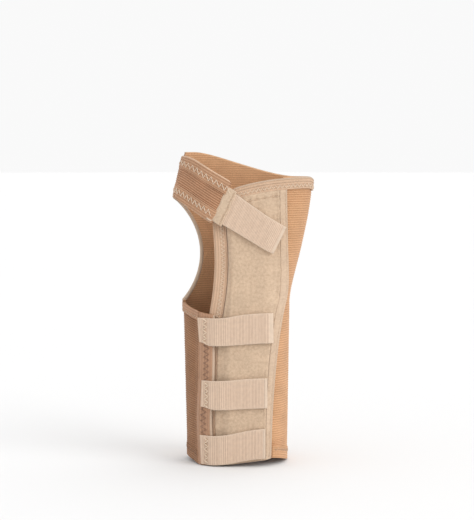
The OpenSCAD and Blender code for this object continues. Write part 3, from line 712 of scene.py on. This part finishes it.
p = Piece()
w = ribbed(SPLIT_W, RIB, 4, 0.7, 0.7)[0][:, None]
s = np.concatenate([np.linspace(-1, 0, 8)[None, :-1], shares(30, 0.8, 0, 0.7)], 1)
on_sleeve = 180 + (540 - SPLIT_TURN) * s
turn = np.where(s < 0, on_sleeve, mix(180, turn_at(closure_x(w), w), np.maximum(s, 0)))
x = limb_x(turn, WRIST_Z)
share = np.where(s < 0, 1.0, np.minimum(1.0, flap_edge_z(x) / flap_edge_z(-34)))
sag = 1.7 * bell(w, 62, 16) * ease((x + 33) / 12) + 0.5 * ease((w - 30) / 40) * noise(x, w, 26, 5, 1)
sag = sag * ease(w / 20) * ease((SPLIT_W - w) / 12)
z = above_hem(np.where(turn < 180, turn + 360, turn), w * share - sag)
x = limb_x(turn, z)
a = run_of(turn, z)
floor = flap_floor(x) * (turn > 180)
p.shell(turn, z, floor, floor + ELASTIC_T, a, w, (0.7, 0.7, 0, 0.7), bump=relief(w, a, 31),
        under=0.08 * ripple(w, RIB))
flap = p.make("flap_elastic", [elastic], nodes=["radial_flap"])


def axis_blend(obj, joint, across, reach):
    """Bakes a piece's transform. It works out the direction across a joint's axis, reach millimetres long,
    but nothing uses it, so the piece is not blended over the axis.
    """
    j = next(j for j in frame["joints"] if j["name"] == joint)
    axis, pos = Vector(j["axis"]).normalized(), Vector(j["pos_m"])
    d = Vector(across)
    d = (d - d.dot(axis) * axis).normalized() * reach * MM
    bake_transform(obj)


axis_blend(flap, "radial_flap_open", (0, -1, 0), 4.0)

# ---- Palm side: lining, loop panel, seam tape, thenar band ----


LEVEL_TO = 140.0            # a palm piece's rows are level up to here
UNDER_BINDING = PALM_BINDING_W - 0.1


def palm_rows(step, first, last):
    """A palm piece's rows, and the heights that its side edges are taken at."""
    row = lines(PALM_H, step, first, last)[:, None]
    return row, np.minimum(row, LEVEL_TO)


def palm_z(row, x, drop):
    """Rows of a palm piece: level at first, then bending to the palm edge."""
    bent = mix(LEVEL_TO, palm_edge_z(x) - drop, (row - LEVEL_TO) / (PALM_H - LEVEL_TO))
    return np.where(row <= LEVEL_TO, row, bent)


def puckers(v, pitch, drift, over):
    """Soft waves along v, whose pitch drifts."""
    return np.sin(v * 2 * math.pi / pitch + drift * np.sin(v / over))


def hemmed(x, z):
    turn = turn_at(x, z)
    return turn, above_hem(turn, z)


p = Piece()
row, level = palm_rows(1.1, 0.4, 0.4)
x = mix(palmar_edge_x(level) + 0.1, seam_x(level) - 2.6, shares(38, 0.9, 0.4, 0.4))
turn, z = hemmed(x, palm_z(row, x, 0.1))
p.shell(turn, z, 0, LINING_TOP, x, z, (0.4,) * 4, bump=-0.02, under=-0.12 * noise(x, z, 1.9, 3, 2) - 0.05)
lining = p.make("palmar_lining", [lining_cloth], "sleeve")
lining_cut = cut(run_of(turn, z), PALM_H)


def panel_left(z):
    """The panel's left edge, which keeps a narrow gap to the fold below the wrist."""
    return panel_l(z) - (1.3 + 1.1 * bell(z, GAP_Z, 15)) * ease((87 - z) / 4)


# The panel's outer face is puckered along its stitch lines and lies over the stay.
p = Piece()
row, level = palm_rows(0.55, 0.55, 0.5)
left, right = panel_left(level), tape_l(level)
x = mix(left, right + 0.12, shares(34, 0.55, 0.6, 0.2))
turn, z = hemmed(x, palm_z(row, x, UNDER_BINDING))
low = panel_floor(x, z)
panel_run = run_of(turn, z)
from_left, from_right = x - left, right - x
from_top = palm_edge_z(x) - PALM_BINDING_W - z
welt = ease((z - 84) / 4) * (0.55 * bell(from_left, 0.75, 0.62) - 0.28 * bell(from_left, 2.0, 0.5))
stitched = -0.3 * bell(from_right, 1.7, 0.45) - 0.5 * bell(from_top, 3.4, 0.6)
pucker = (0.26 * puckers(z, 7.3, 1.4, 11) * np.exp(-from_right / 3.5)
          + 0.34 * puckers(x, 4.6, 0.8, 5) * np.exp(-np.abs(from_top - 3) / 2.4)
          + 0.16 * puckers(z, 5.7, 2, 13) * np.exp(-from_left / 2.6))
fuzz = 0.075 * noise(x, z, 2.3, 21, 2) + 0.05 * noise(x, z, 0.95, 22, 2) + 0.14 * noise(x, z, 19, 23, 2)
p.shell(turn, z, low, low + LOOP_T, x, z, (0.55, 0.2, 0.6, 0.2), bump=welt + stitched + pucker + fuzz)
a1, _, lift = zigzag(88, 152, 5.2, 0, 0)
xx = panel_left(a1) + 2.0
t1, z1 = hemmed(xx, a1)
p.tube(t1, z1, panel_floor(xx, z1) + LOOP_T - 0.28 + 0.2 * lift, 0.15, 1)
a1, _, lift = zigzag(-8.5, 20.3, 4.4, 0, 0)
z1 = palm_edge_z(a1) - PALM_BINDING_W - 3.4
p.tube(turn_at(a1, z1), z1, panel_floor(a1, z1) + LOOP_T - 0.3 + 0.2 * lift, 0.14, 1)
panel = p.make("palmar_loop_panel", [loop, thread_tan], "sleeve")

p = Piece()
row, level = palm_rows(0.7, 0.5, 0.45)
left, right = tape_l(level) + 0.15, seam_x(level)
x = mix(left, right, shares(3.6, 0.3, 0.2, 0.5))
turn, z = hemmed(x, palm_z(row, x, UNDER_BINDING))
low = panel_floor(x, z)
lip = 0.16 * bell(right - x, 0.45, 0.32) - 0.16 * bell(right - x, 1.15, 0.22)
crease = 0.12 * puckers(z, 7.3, 1.4, 11) * np.exp(-(x - left) / 1.6)
crumple = 0.16 * noise(x * 2.2, z, 6.5, 8, 2) * ease((32 - z) / 22)
mat = np.where((right - x)[:-1, :-1] < 0.85, 1, 0)
p.shell(turn, z, low, low + LOOP_T, x, z, (0.5, 0.2, 0.2, 0.5), mat=mat, bump=lip + crease + crumple + 0.06)
a1, _, lift = zigzag(1.5, 158, 4.8, 0, 0)
xx = seam_x(np.minimum(a1, LEVEL_TO)) - 1.15
t1, z1 = hemmed(xx, a1)
p.tube(t1, z1, panel_floor(xx, z1) + LOOP_T - 0.16 + 0.16 * lift, 0.13, 2)
tape = p.make("ulnar_seam_tape", [loop_smooth, light_edge, thread_tan], "sleeve")


def band_relief(across, width, pitch, height=0.12):
    """Ribs along an edge band, with a firmer selvedge at each side."""
    return height * ripple(across, pitch) + 0.08 * bell(across, 0, 0.5) + 0.08 * bell(width - across, 0, 0.5)


p = Piece()
row, level = palm_rows(1.0, 0.4, 0.4)
across, pitch = ribbed(BAND_W, 1.5, 6, 0.45, 0.4)
x = palmar_edge_x(level) + across[None]
turn, z = hemmed(x, palm_z(row, x, UNDER_BINDING))
p.shell(turn, z, BAND_FLOOR, THENAR_TOP, z, across, (0.4, 0.4, 0.45, 0.4),
        bump=band_relief(across, BAND_W, pitch, 0.05) + 0.05 * noise(z, across, 12, 41, 1)
        - 0.3 * bell(across, 6.7, 0.4) - 0.5 * ease((87 - z) / 4))
for centre, width, step, mat in ((4.9, 2.1, 2.3, 1), (1.0, 0.0, 3.4, 2)):
    a1, b1, lift = zigzag(86, 150, step, centre, width)
    xx = palmar_edge_x(a1) + b1
    t1, z1 = hemmed(xx, a1)
    p.tube(t1, z1, THENAR_TOP + 0.02 + 0.2 * lift, 0.17, mat)
thenar = p.make("thenar_edge_band", [edging, thread_light, thread_tan], "sleeve")


# ---- Bindings along edges ----


ROLL_R = 0.5        # the half width of a binding's rolled edge


def binding(name, body, materials, turns, edge, width, floor, thick, threads):
    """A band below an edge that runs round the limb: ribs along it, a rolled edge and zigzag thread.
    turns are fine steps of turn, edge is a function of turn, and floor one of turn and z."""
    p = Piece()
    across, pitch = ribbed(width, 1.5, 6, 0.35, 0.4)
    rows = (width - across)[::-1][:, None]
    z = edge(turns) - rows
    low = floor(turns, z)
    a = run_of(turns, z)
    p.shell(turns, z, low, low + thick, a, rows, (0.35, 0.4, 0.35, 0.35),
            bump=band_relief(rows, width, pitch, 0.08))
    z_roll = edge(turns) - 0.25
    mid_height = floor(turns, z_roll) + thick / 2
    p.tube(turns, z_roll, mid_height, ROLL_R, 1, sides=10, flat=(thick / 2 + 0.14) / ROLL_R)
    mid = a[len(a) // 2]
    for centre, span, step, mat in threads:
        a1, b1, lift = zigzag(1.0, mid[-1] - 1.0, step, centre, span)
        t1 = np.interp(a1, mid, turns)
        z1 = edge(t1) - b1
        p.tube(t1, z1, floor(t1, z1) + thick + 0.04 + 0.2 * lift, 0.17, mat)
    return p.make(name, materials, body)


def palm_binding_floor(turn, z):
    x = limb_x(turn, z)
    under = np.where(x < seam_x(PALM_H) - 0.4, panel_floor(x, z), OVER_ELASTIC)
    return np.where(turn > 352, OVER_ELASTIC, under) + 0.08


def palm_binding_edge(turn):
    z = palm_edge_z(limb_x(turn, PALM_H - 2)) + hand_edge(turn) - knuckle_z(turn)
    return np.where(turn < 348, z, mix(z, hand_edge(turn), ease((turn - 348) / 8)))


HAND_BAND = [edging, light_edge, thread_light, thread_tan]
HAND_THREADS = [(4.6, 2.0, 2.5, 2), (2.1, 0, 3.0, 3)]       # centre, width, pitch and material of each row
turns = np.linspace(float(turn_at(-17.4, 152)), 361, 110)
palm_binding = binding("palm_edge_binding", "sleeve", HAND_BAND, turns, palm_binding_edge, PALM_BINDING_W,
                       palm_binding_floor, BAND_T + 0.1, HAND_THREADS)
back_binding = binding("dorsal_edge_binding", "sleeve", HAND_BAND, np.linspace(361.2, 531, 120), hand_edge,
                       PALM_BINDING_W, lambda t, z: OVER_ELASTIC + 0 * z, BAND_T, HAND_THREADS)

# The thumb hole's rim: the band is laid square to the rim, towards the fabric.
p = Piece()
phi = np.linspace(0.02, math.pi - 0.02, 90)[None]
rim_z = HOLE_MID - HOLE_HALF * np.cos(phi)
rim_t = HOLE_TURN - HOLE_REACH * np.sin(phi)
speed = np.linalg.norm(on_limb(rim_t + 0.5, rim_z, 1.6) - on_limb(rim_t - 0.5, rim_z, 1.6), axis=2)
dt, dz = np.gradient(rim_t[0])[None] * speed, np.gradient(rim_z[0])[None]
size = np.hypot(dt, dz)
out_t, out_z = -dz / size, dt / size
HOLE_BAND_W = 5.4
across, pitch = ribbed(HOLE_BAND_W, 1.35, 6, 0.4, 0.35)
rows = across[:, None]
turn = np.minimum(rim_t + out_t * rows / speed, 539.8)
z = rim_z + out_z * rows
a = np.cumsum(size, 1) + 0 * rows
p.shell(turn, z, OVER_ELASTIC, OVER_ELASTIC + BAND_T, a, rows, (0.4, 0.35, 0.35, 0.35),
        bump=band_relief(rows, HOLE_BAND_W, pitch))
p.tube(rim_t[0] - 0.4 / speed[0], rim_z[0], 1.15, 1.15, 1, sides=12, flat=1.15)
a1, b1, lift = zigzag(1.2, a[0, -1] - 1.2, 2.4, 3.6, 1.8)
ph = np.interp(a1, a[0], phi[0])
rt, rz = HOLE_TURN - HOLE_REACH * np.sin(ph), HOLE_MID - HOLE_HALF * np.cos(ph)
sp, ot, oz = (np.interp(a1, a[0], v[0]) for v in (speed, out_t, out_z))
p.tube(rt + ot * b1 / sp, rz + oz * b1, OVER_ELASTIC + BAND_T + 0.04 + 0.2 * lift, 0.17, 2)
hole_binding = p.make("thumb_hole_binding", [edging, light_edge, thread_light], "sleeve")


def on_flap(turn, z):
    """The height at which a band lies on the flap's elastic."""
    return flap_floor(limb_x(turn, z)) + OVER_ELASTIC + 0.06


# The flap's edge at the thumb's base.
turns = np.linspace(183.5, float(turn_at(-24.4, WRIST_Z - 6)), 40)
flap_binding = binding("flap_thumb_binding", "radial_flap", [edging_brown, edging_brown, thread_tan], turns,
                       lambda t: flap_edge_z(limb_x(t, WRIST_Z - 4)) + 0.15, 5.0, on_flap, BAND_T,
                       [(3.4, 1.6, 2.4, 2)])

HEM_BAND_T, HEM_BAND_W = 0.4, 7.0


def hem_band(name, body, thread, turns, floor):
    """A thin band round the hem, with zigzag thread near its upper edge."""
    p = Piece()
    across, pitch = ribbed(HEM_BAND_W, 1.4, 6, 0.4, 0.3)
    rows = across[:, None]
    z = rows + hem_z(turns)
    low = floor(turns, z)
    a = run_of(turns, z)
    p.shell(turns, z, low, low + HEM_BAND_T, a, rows, (0.25, 0.2, 0.35, 0.35),
            bump=band_relief(rows, HEM_BAND_W, pitch, 0.1) + 0.08 * noise(a, rows, 9, 77, 1))
    mid = a[len(a) // 2]
    a1, b1, lift = zigzag(1.0, mid[-1] - 1.0, 2.6, 5.2, 1.8)
    t1 = np.interp(a1, mid, turns)
    z1 = b1 + hem_z(t1)
    p.tube(t1, z1, floor(t1, z1) + HEM_BAND_T + 0.04 + 0.16 * lift, 0.14, 1)
    return p.make(name, [elastic, thread], body)


sleeve_hem = hem_band("sleeve_hem_band", "sleeve", thread_tan, np.linspace(float(turn_at(15.9, 0)), 536, 170),
                      lambda t, z: OVER_ELASTIC - 0.05 + 0 * z)
turns = np.linspace(184.5, float(turn_at(-24.3, 0)), 40)
flap_hem = hem_band("flap_hem_band", "radial_flap", thread_brown, turns, on_flap)

# ---- The flap's free edge ----

CLOSURE_H, CLOSURE_W = 88.0, 7.4
p = Piece()
row = lines(1, 0.9 / CLOSURE_H, 0.4 / CLOSURE_H, 0.4 / CLOSURE_H)[:, None]
across, pitch = ribbed(CLOSURE_W, 1.45, 6, 0.35, 0.1)
x = closure_x(row * CLOSURE_H) + (across - CLOSURE_W - 0.5)
turn, z = hemmed(x, row * flap_edge_z(x))
low = flap_floor(x) + OVER_ELASTIC
p.shell(turn, z, low, low + BAND_T, z, across, (0.4, 0.4, 0.35, 0.1),
        bump=band_relief(across, CLOSURE_W, pitch, 0.035) + 0.12 * noise(z, across, 7, 51, 2)
        - 0.15 * bell(across, 4.0, 1.6) - (BAND_T - 0.08) * (1 - ease(across / 2.4)))
zr = np.concatenate([[0.0], np.linspace(0.004, 0.996, 120), [1.0]])
xr = closure_x(zr * CLOSURE_H) - 0.35
zz = zr * (flap_edge_z(xr) + 0.1) - 0.25 * (1 - zr)
turn = turn_at(xr, zz)
p.tube(turn, above_hem(turn, zz), flap_floor(xr) + 1.17, 0.86, 1, sides=12, flat=1.28)
a1, b1, lift = zigzag(0.6, 86.8, 3.4, -3.7, 2.9)
xx = closure_x(a1) + b1
t1, z1 = hemmed(xx, a1)
p.tube(t1, z1, flap_floor(xx) + OVER_ELASTIC + BAND_T - 0.05 + 0.2 * lift, 0.25, 2)
closure = p.make("closure_edge_band", [edging_brown, light_edge, thread_brown], "radial_flap")

# ---- Straps ----

STRAP_RIB = 0.85
SEAM_X = -18.8
# Each strap's z, its free end's X and its rise towards that end.
STRAPS = {"upper": (69.9, 15.6, 1.8), "middle": (32.8, 13.4, 1.3), "lower": (0.4, 12.6, 4.2)}
LEFT_END = {"upper": -24.3, "middle": -21.8, "lower": -22.5}
LEAN = {"upper": 1.2, "middle": -0.4, "lower": 0.6}   # how far the left end leans with height
STITCH_X = {"upper": -20.4, "middle": -19.3, "lower": -19.2}
DRAWN_IN = {"upper": 2.0, "middle": 1.5, "lower": 0.3}   # how far its lower left corner is drawn in
SAG = {"upper": 1.3, "middle": 0.5, "lower": 0.2}        # how far its top edge sags beside the fold


def strap_z(strap, x, t):
    return strap[0] + t + strap[2] * ease((x - SEAM_X) / (strap[1] - SEAM_X))


def strap_floor(x, z):
    free = np.where(x <= POCKET_R, WEBBING_FLOOR, WEBBING_FLOOR - POCKET_H + panel_floor(x, z))
    sewn = flap_floor(x) + OVER_ELASTIC + BAND_T + 0.2
    return mix(sewn, free, ease((x + 19.8) / 3.2))


HOOK_GAP, HOOK_ROOT = 0.95, 0.26        # the hooks' spacing, and how deep their roots stand in the strip


def hook_patch(name, body, at, a_from, a_to, b_from, b_to):
    """A moulded strip with rows of hooks on its inner face. at gives turn, z and the strip's outer height."""
    p = Piece()
    a = lines(a_to - a_from, 1.6, 0.3, 0.3)[None] + a_from
    b = lines(b_to - b_from, 2.0, 0.3, 0.3)[:, None] + b_from
    turn, z, top = at(a, b)
    p.shell(turn, z, top - 0.28, top, a, b, (0.14,) * 4)
    a, b = np.meshgrid(np.arange(a_from + 0.6, a_to - 0.5, HOOK_GAP),
                       np.arange(b_from + 0.6, b_to - 0.5, HOOK_GAP))
    a[1::2] += HOOK_GAP / 2
    a, b = a.ravel(), b.ravel()
    turn, z, top = at(a, b)
    roots = on_limb(turn, z, top - HOOK_ROOT)
    up = on_limb(turn, z, top - HOOK_ROOT - 1) - roots
    turn, z, top = at(a, b + 0.5)
    lean = on_limb(turn, z, top - HOOK_ROOT) - roots
    lean = unit(lean - (lean * up).sum(1, keepdims=True) * up)
    p.studs(roots, up, lean * np.where(np.arange(len(a)) % 2, 1, -1)[:, None], 0.33, 0.075, 0)
    return p.make(name, [hook_nylon], body)


def edged_mats(a, b, a_end, b_half, end_w=1.5, rim_w=0.75):
    """1 on a strap's smooth end and selvedges, 0 on its ribbed middle."""
    am, bm = (a[:-1, :-1] + a[1:, 1:]) / 2, (b[:-1, :-1] + b[1:, 1:]) / 2
    return ((am > a_end - end_w) | (np.abs(bm) > b_half - rim_w)).astype(int)


def rib_mask(a, b, a_from, a_end, b_half):
    """1 where a strap is ribbed, and 0 on its ends and selvedges."""
    return ease((b_half - 0.55 - np.abs(b)) / 0.5) * ease((a_end - 1.4 - a) / 0.5) * ease((a - a_from) / 0.6)


for name, strap in STRAPS.items():
    p = Piece()
    length = strap[1] - LEFT_END[name]
    along = lines(length, STRAP_RIB / 6, 0.35, 0.45)[None]
    across = lines(STRAP_W, 1.1, 0.4, 0.4)[:, None]
    share = across / STRAP_W
    x = LEFT_END[name] + along + LEAN[name] * (1 - share) * (1 - ease(along / 6))
    z = strap_z(strap, x, across) + DRAWN_IN[name] * (1 - share) * (1 - ease(along / 7))
    z = z - SAG[name] * share * (1 - ease((x + 14) / 16))
    low = strap_floor(x, z)
    a, b = along + 0 * across, across - STRAP_W / 2 + 0 * along
    ribs = 0.1 * ripple(a, STRAP_RIB) * rib_mask(a, b, 0.5, length, STRAP_W / 2)
    swell = 0.1 * noise(a, b, 13, 60 + len(name), 2)
    sunk = -0.42 * bell(x, STITCH_X[name], 1.1)
    fold = 0.12 * ease((a - length + 1.6) / 0.4)
    p.shell(turn_at(x, z), z, low, low + WEBBING_T, a, b, (0.4, 0.4, 0.35, 0.45),
            mat=edged_mats(a, b, length, STRAP_W / 2), bump=ribs + swell + sunk + fold)
    a1, b1, lift = zigzag(1.3, STRAP_W - 1.6, 3.2, STITCH_X[name], 2.0)
    z1 = strap_z(strap, b1, a1)
    p.tube(turn_at(b1, z1), z1, strap_floor(b1, z1) + WEBBING_T - 0.12 + 0.3 * lift, 0.3, 2)
    obj = p.make(f"{name}_strap", [webbing, webbing_edge, thread_light],
                 nodes=[f"{name}_strap", f"{name}_strap_sewn_end"])
    axis_blend(obj, f"{name}_strap_peel", (1, -0.1, 0), 1.6)

    def under_strap(a, b, strap=strap):
        z = strap_z(strap, a, b)
        return turn_at(a, z), z, strap_floor(a, z) - 0.08

    hooks = hook_patch(f"{name}_strap_hooks", f"{name}_strap", under_strap, strap[1] - 20, strap[1] - 2.9,
                       1.1, STRAP_W - 1.1)

# ---- Thumb strap ----

KEEPER_FROM, KEEPER_TO, TAB_TO = 29.4, 35.8, 69.1
TAB_W, TAB_END_W, TAB_SKEW, TAB_DROP, FOLD_NARROWING = 19.0, 16.6, 0.17, 0.9, 0.17


def thumb_at(turn, t):
    """z and floor of the thumb strap at a turn; before the fold it runs level over the sleeve."""
    front = np.maximum(turn, 180.0)
    t = t - np.maximum(t, 0) * FOLD_NARROWING * (1 - ease((front - 180) / 40))
    z = thumb_z(thumb_s(front, t), t)
    floor = thumb_floor(limb_x(front, z))
    lap = (OVER_ELASTIC + 0.1) * ease((177.5 - turn) / 5.5)
    return z, np.where(turn < 180, np.maximum(floor, lap), floor)


def last_turn(t, s_end):
    s_end = s_end - TAB_SKEW * t
    return turn_at(thumb_x(s_end, t), thumb_z(s_end, t))


def at_fold(turn):
    """1 at the thumb strap's fold, and 0 well in front of it."""
    return 1 - ease((turn - 184) / 14)


half_w = THUMB_STRAP_W / 2
p = Piece()
t_lines, t_pitch = ribbed(THUMB_STRAP_W, RIB, 5, 0.6, 0.6)
t = (t_lines - half_w)[:, None]
turn = mix(166.0, last_turn(t, KEEPER_FROM + 1.5), shares(46, 1.0, 0.5, 0.4))
z, low = thumb_at(turn, t)
a = run_of(turn, z)
ribs = 0.19 * ripple(t + half_w, t_pitch) * (np.abs(t) < half_w - 0.5)
plump = 0.5 * (1 - (t / half_w) ** 2) * ease((turn - 176) / 5) * (1 - ease((turn - 186) / 16))
p.shell(turn, z, low, low + ELASTIC_T, a, t + half_w, (0.6, 0.6, 0.5, 0.4),
        bump=ribs + plump + 0.08 * noise(a, t, 9, 71, 2))
thumb_elastic = p.make("thumb_strap_elastic", [elastic_thumb])
axis_blend(thumb_elastic, "thumb_strap_open", (0, -1, 0), 3.2)

for side, name in ((1, "upper"), (-1, "lower")):
    p = Piece()
    across, pitch = ribbed(BAND_W, 1.5, 6, 0.4, 0.35)
    t = (half_w - across[::-1] if side > 0 else across - half_w)[:, None]
    turn = mix(166.4, last_turn(t, KEEPER_FROM + 1.0), shares(46, 1.0, 0.4, 0.3))
    z, low = thumb_at(turn, t)
    low = low + OVER_ELASTIC - 0.6 * at_fold(turn)
    a = run_of(turn, z)
    edge_gap = half_w - np.abs(t)
    p.shell(turn, z, low, low + BAND_T, a, edge_gap, (0.4, 0.4, 0.4, 0.3),
            bump=band_relief(edge_gap, BAND_W, pitch, 0.12) + 0.05 * noise(a, t, 8, 72 + side, 1))
    edge_t = side * (half_w - 0.2)
    turns = np.linspace(166.6, float(last_turn(edge_t, KEEPER_FROM + 0.8)), 70)
    z1, low1 = thumb_at(turns, edge_t + 0 * turns)
    p.tube(turns, z1, low1 + 1.15 - 0.5 * at_fold(turns), 0.7, 1, sides=10, flat=1.3)
    mid = run_of(turns[None], z1[None])[0]
    a1, b1, lift = zigzag(0.8, mid[-1] - 0.6, 3.3, 4.3, 3.0, per=5)
    t1 = np.interp(a1, mid, turns)
    z1, low1 = thumb_at(t1, side * (half_w - b1))
    p.tube(t1, z1, low1 + OVER_ELASTIC + BAND_T + 0.05 + 0.22 * lift - 0.6 * at_fold(t1), 0.2, 2)
    obj = p.make(f"thumb_strap_{name}_band", [edging_thumb, edging, thread_light])
    axis_blend(obj, "thumb_strap_open", (0, -1, 0), 3.2)


def tab_at(s, side, margin=0.0):
    """The tab's place at a distance along and a share across, from -1 to 1 between its edges."""
    half = mix(TAB_W, TAB_END_W, np.maximum(0, s - KEEPER_TO) / (TAB_TO - KEEPER_TO)) / 2 + margin
    t = side * half - TAB_DROP
    along = s - TAB_SKEW * t
    x, z = thumb_x(along, t), thumb_z(along, t)
    return turn_at(x, z), z


# The keeper: a brushed tab folded round the end of the elastic.
p = Piece()
KEEPER_MARGIN, KEEPER_TOP = 1.2, WEBBING_TOP + 0.15
half_k = TAB_W / 2 + KEEPER_MARGIN
s = lines(KEEPER_TO - KEEPER_FROM, 0.3, 0.9, 0.7)[None] + KEEPER_FROM
t = lines(2 * half_k, 0.6, 0.6, 0.6)[:, None] - half_k
bulge = 0.28 * np.sin(math.pi * (s - KEEPER_FROM) / (KEEPER_TO - KEEPER_FROM))
creased = 0.16 * noise(s, t, 5.5, 81, 2) + 0.06 * noise(s, t, 1.4, 83, 2)
press = -0.3 * bell(s - KEEPER_TO, -1.3, 0.4)
wander = 0.35 * noise(t, 0 * t, 11, 82, 2)
turn, z = tab_at(s + wander, t / half_k, KEEPER_MARGIN)
p.shell(turn, z, THUMB_RISE - 0.05, KEEPER_TOP, s, t, (0.6, 0.6, 0.9, 0.7), bump=bulge + creased + press)
a1, b1, lift = zigzag(-half_k + 0.7, half_k - 0.7, 2.4, KEEPER_TO - 1.3, 0.0)
t1, z1 = tab_at(b1 + np.interp(a1, t[:, 0], wander[:, 0]), a1 / half_k, KEEPER_MARGIN)
p.tube(t1, z1, KEEPER_TOP + 0.22 * lift, 0.16, 1)
# A short tail of the tab's selvedge, left loose at its lower corner.
k = np.linspace(0, 1, 14)
t1, z1 = tab_at(KEEPER_FROM + 1.2 - 4.2 * k, -1 + (0.4 - 0.5 * np.sin(k * 2.4)) / half_k, KEEPER_MARGIN)
p.tube(t1, z1, 6.0 + 0.9 * np.sin(k * 3), 0.42, 2, sides=8, flat=0.7)
keeper = p.make("thumb_strap_keeper", [keeper_cloth, thread_tan, webbing_edge], "thumb_strap")

p = Piece()
half_t = TAB_W / 2
tab_from = KEEPER_TO - 2.2
along = lines(TAB_TO - tab_from, STRAP_RIB / 6, 0.3, 0.45)[None]
t = lines(TAB_W, 1.1, 0.4, 0.4)[:, None] - half_t
s = tab_from + along
turn, z = tab_at(s, t / half_t)
a, b = along + 0 * t, t + 0 * along
lift_off = ease((s - KEEPER_TO - 0.2) / 2.5)
low = mix(THUMB_RISE + 0.4, WEBBING_FLOOR, lift_off)
top = mix(WEBBING_TOP - 0.6, WEBBING_TOP, lift_off)
ribs = 0.1 * ripple(a, STRAP_RIB) * rib_mask(a, b, 3.0, TAB_TO - tab_from, half_t)
fold = 0.1 * ease((a - (TAB_TO - tab_from) + 1.4) / 0.4)
p.shell(turn, z, low, top, a, b, (0.4, 0.4, 0.3, 0.45), mat=edged_mats(a, b, TAB_TO - tab_from, half_t, 1.3),
        bump=ribs + 0.1 * noise(a, b, 12, 91, 2) + fold)
tab = p.make("thumb_hook_tab", [webbing, webbing_edge])
axis_blend(tab, "thumb_tab_peel", (math.cos(THUMB_FALL), 0, -math.sin(THUMB_FALL)), 1.3)

tab_hooks = hook_patch("thumb_tab_hooks", "thumb_hook_tab",
                       lambda a, b: (*tab_at(a, b / half_t), WEBBING_FLOOR - 0.08),
                       KEEPER_TO + 7, TAB_TO - 2, -half_t + 1, half_t - 1)

# ---- Back: the sewn channels over the two dorsal stays ----

CHANNEL_FOOT, CHANNEL_L, CHANNEL_W, CHANNEL_T = 9, 147, 13, 0.6


def round_back(at_turn, x, z):
    """The turn at a distance x round the back from at_turn, at height z."""
    half = (profile(z, ULNAR) - profile(z, RADIAL)) / 2
    return at_turn + 360 + x / half * 180 / math.pi


def over_stay(x):
    """How far a channel rises over its stay."""
    return 1.25 * ease((4.7 - np.abs(x)) / 1.3)


for name, at_turn in (("radial", 103.0), ("ulnar", 60.0)):
    p = Piece()
    row = lines(CHANNEL_L, 1.2, 0.5, 0.5)[:, None] + CHANNEL_FOOT
    x = (lines(CHANNEL_W, 0.45, 0.4, 0.4) - CHANNEL_W / 2)[None]
    low = OVER_ELASTIC + over_stay(x)
    quilt = -0.12 * bell(np.abs(x), 4.9, 0.35)
    weave = 0.05 * ripple(x, 1.1) + 0.05 * noise(row, x, 9, 95, 1)
    p.shell(round_back(at_turn, x, row), row, low, low + CHANNEL_T, row, x, (0.3, 0.3, 0.28, 0.28),
            bump=quilt + weave)
    for side in (-5.6, 5.6):
        z1, x1, lift = zigzag(10, 155, 2.8, side, 0.9)
        p.tube(round_back(at_turn, x1, z1), z1, OVER_ELASTIC + CHANNEL_T + 0.06 + 0.18 * lift, 0.15, 1)
    for end in (10.2, 154.8):
        x1, z1, lift = zigzag(-4.6, 4.6, 2.2, end, 1.0)
        top = OVER_ELASTIC + CHANNEL_T + 0.06 + over_stay(x1)
        p.tube(round_back(at_turn, x1, z1), z1, top + 0.18 * lift, 0.15, 1)
    channel = p.make(f"dorsal_channel_{name}", [edging, thread_light], "sleeve")

# ---- CAD parts that are shown ----

STAYS = {"palmar_stay": metal, "dorsal_stay_radial": stay_nylon, "dorsal_stay_ulnar": stay_nylon}
for name, mat in STAYS.items():
    node = frame["nodes"][name]
    node.data.materials.clear()
    node.data.materials.append(mat)

# ---- Floor, light and camera ----

FLOOR_R, FLOOR_Z, FLOOR_SIDES = 9, -0.0002, 64
corners = [k * 2 * math.pi / FLOOR_SIDES for k in range(FLOOR_SIDES)]
verts = [(FLOOR_R * math.cos(k), FLOOR_R * math.sin(k), FLOOR_Z) for k in corners]
mesh = bpy.data.meshes.new("floor")
mesh.from_pydata(verts, [], [list(range(FLOOR_SIDES))])
floor = link("floor", mesh)
m = Nodes("pale_floor", 0.9)
mesh.materials.append(m.finish(m.blend(m.noise(m.place(), 3, 2), (0.79, 0.79, 0.79), (0.8, 0.8, 0.8)),
                               m.noise(m.place(), 30, 2), 0.0001, 0.1))

world = bpy.data.worlds.new("studio")
world.use_nodes = True
sky = world.node_tree.nodes["Background"].inputs
sky["Color"].default_value = (1, 1, 1, 1)
sky["Strength"].default_value = 0.95
bpy.context.scene.world = world


def soft_sun(name, azimuth, elevation, strength, spread):
    """A broad, even light from an azimuth (0 in front, 90 at the right) and elevation, in degrees."""
    data = bpy.data.lights.new(name, "SUN")
    data.energy, data.angle = strength, math.radians(spread)
    light = link(name, data)
    az, el = math.radians(azimuth), math.radians(elevation)
    way = Vector((math.sin(az) * math.cos(el), -math.cos(az) * math.cos(el), math.sin(el)))
    light.rotation_euler = (-way).to_track_quat("-Z", "Y").to_euler()


soft_sun("key", 55, 32, 1.1, 40)
soft_sun("back", 150, 50, 0.5, 60)

HEIGHT_MM = 301.6                           # the picture's height at the splint's front plane
DISTANCE, ELEVATION, SENSOR = 1.0, math.radians(4), 36
aim = Vector((-0.0041, cad_box[0][1] + 0.007, 0.12))
camera_data = bpy.data.cameras.new("camera")
camera = link("camera", camera_data)
camera.location = aim + Vector((0, -math.cos(ELEVATION), math.sin(ELEVATION))) * DISTANCE
camera.rotation_euler = (aim - camera.location).to_track_quat("-Z", "Y").to_euler()
camera_data.sensor_fit = "AUTO"
camera_data.sensor_width = SENSOR
camera_data.lens = SENSOR * DISTANCE / (HEIGHT_MM * MM)
camera_data.clip_start = 0.01
bpy.context.scene.camera = camera
bpy.context.scene.view_settings.view_transform = "Standard"
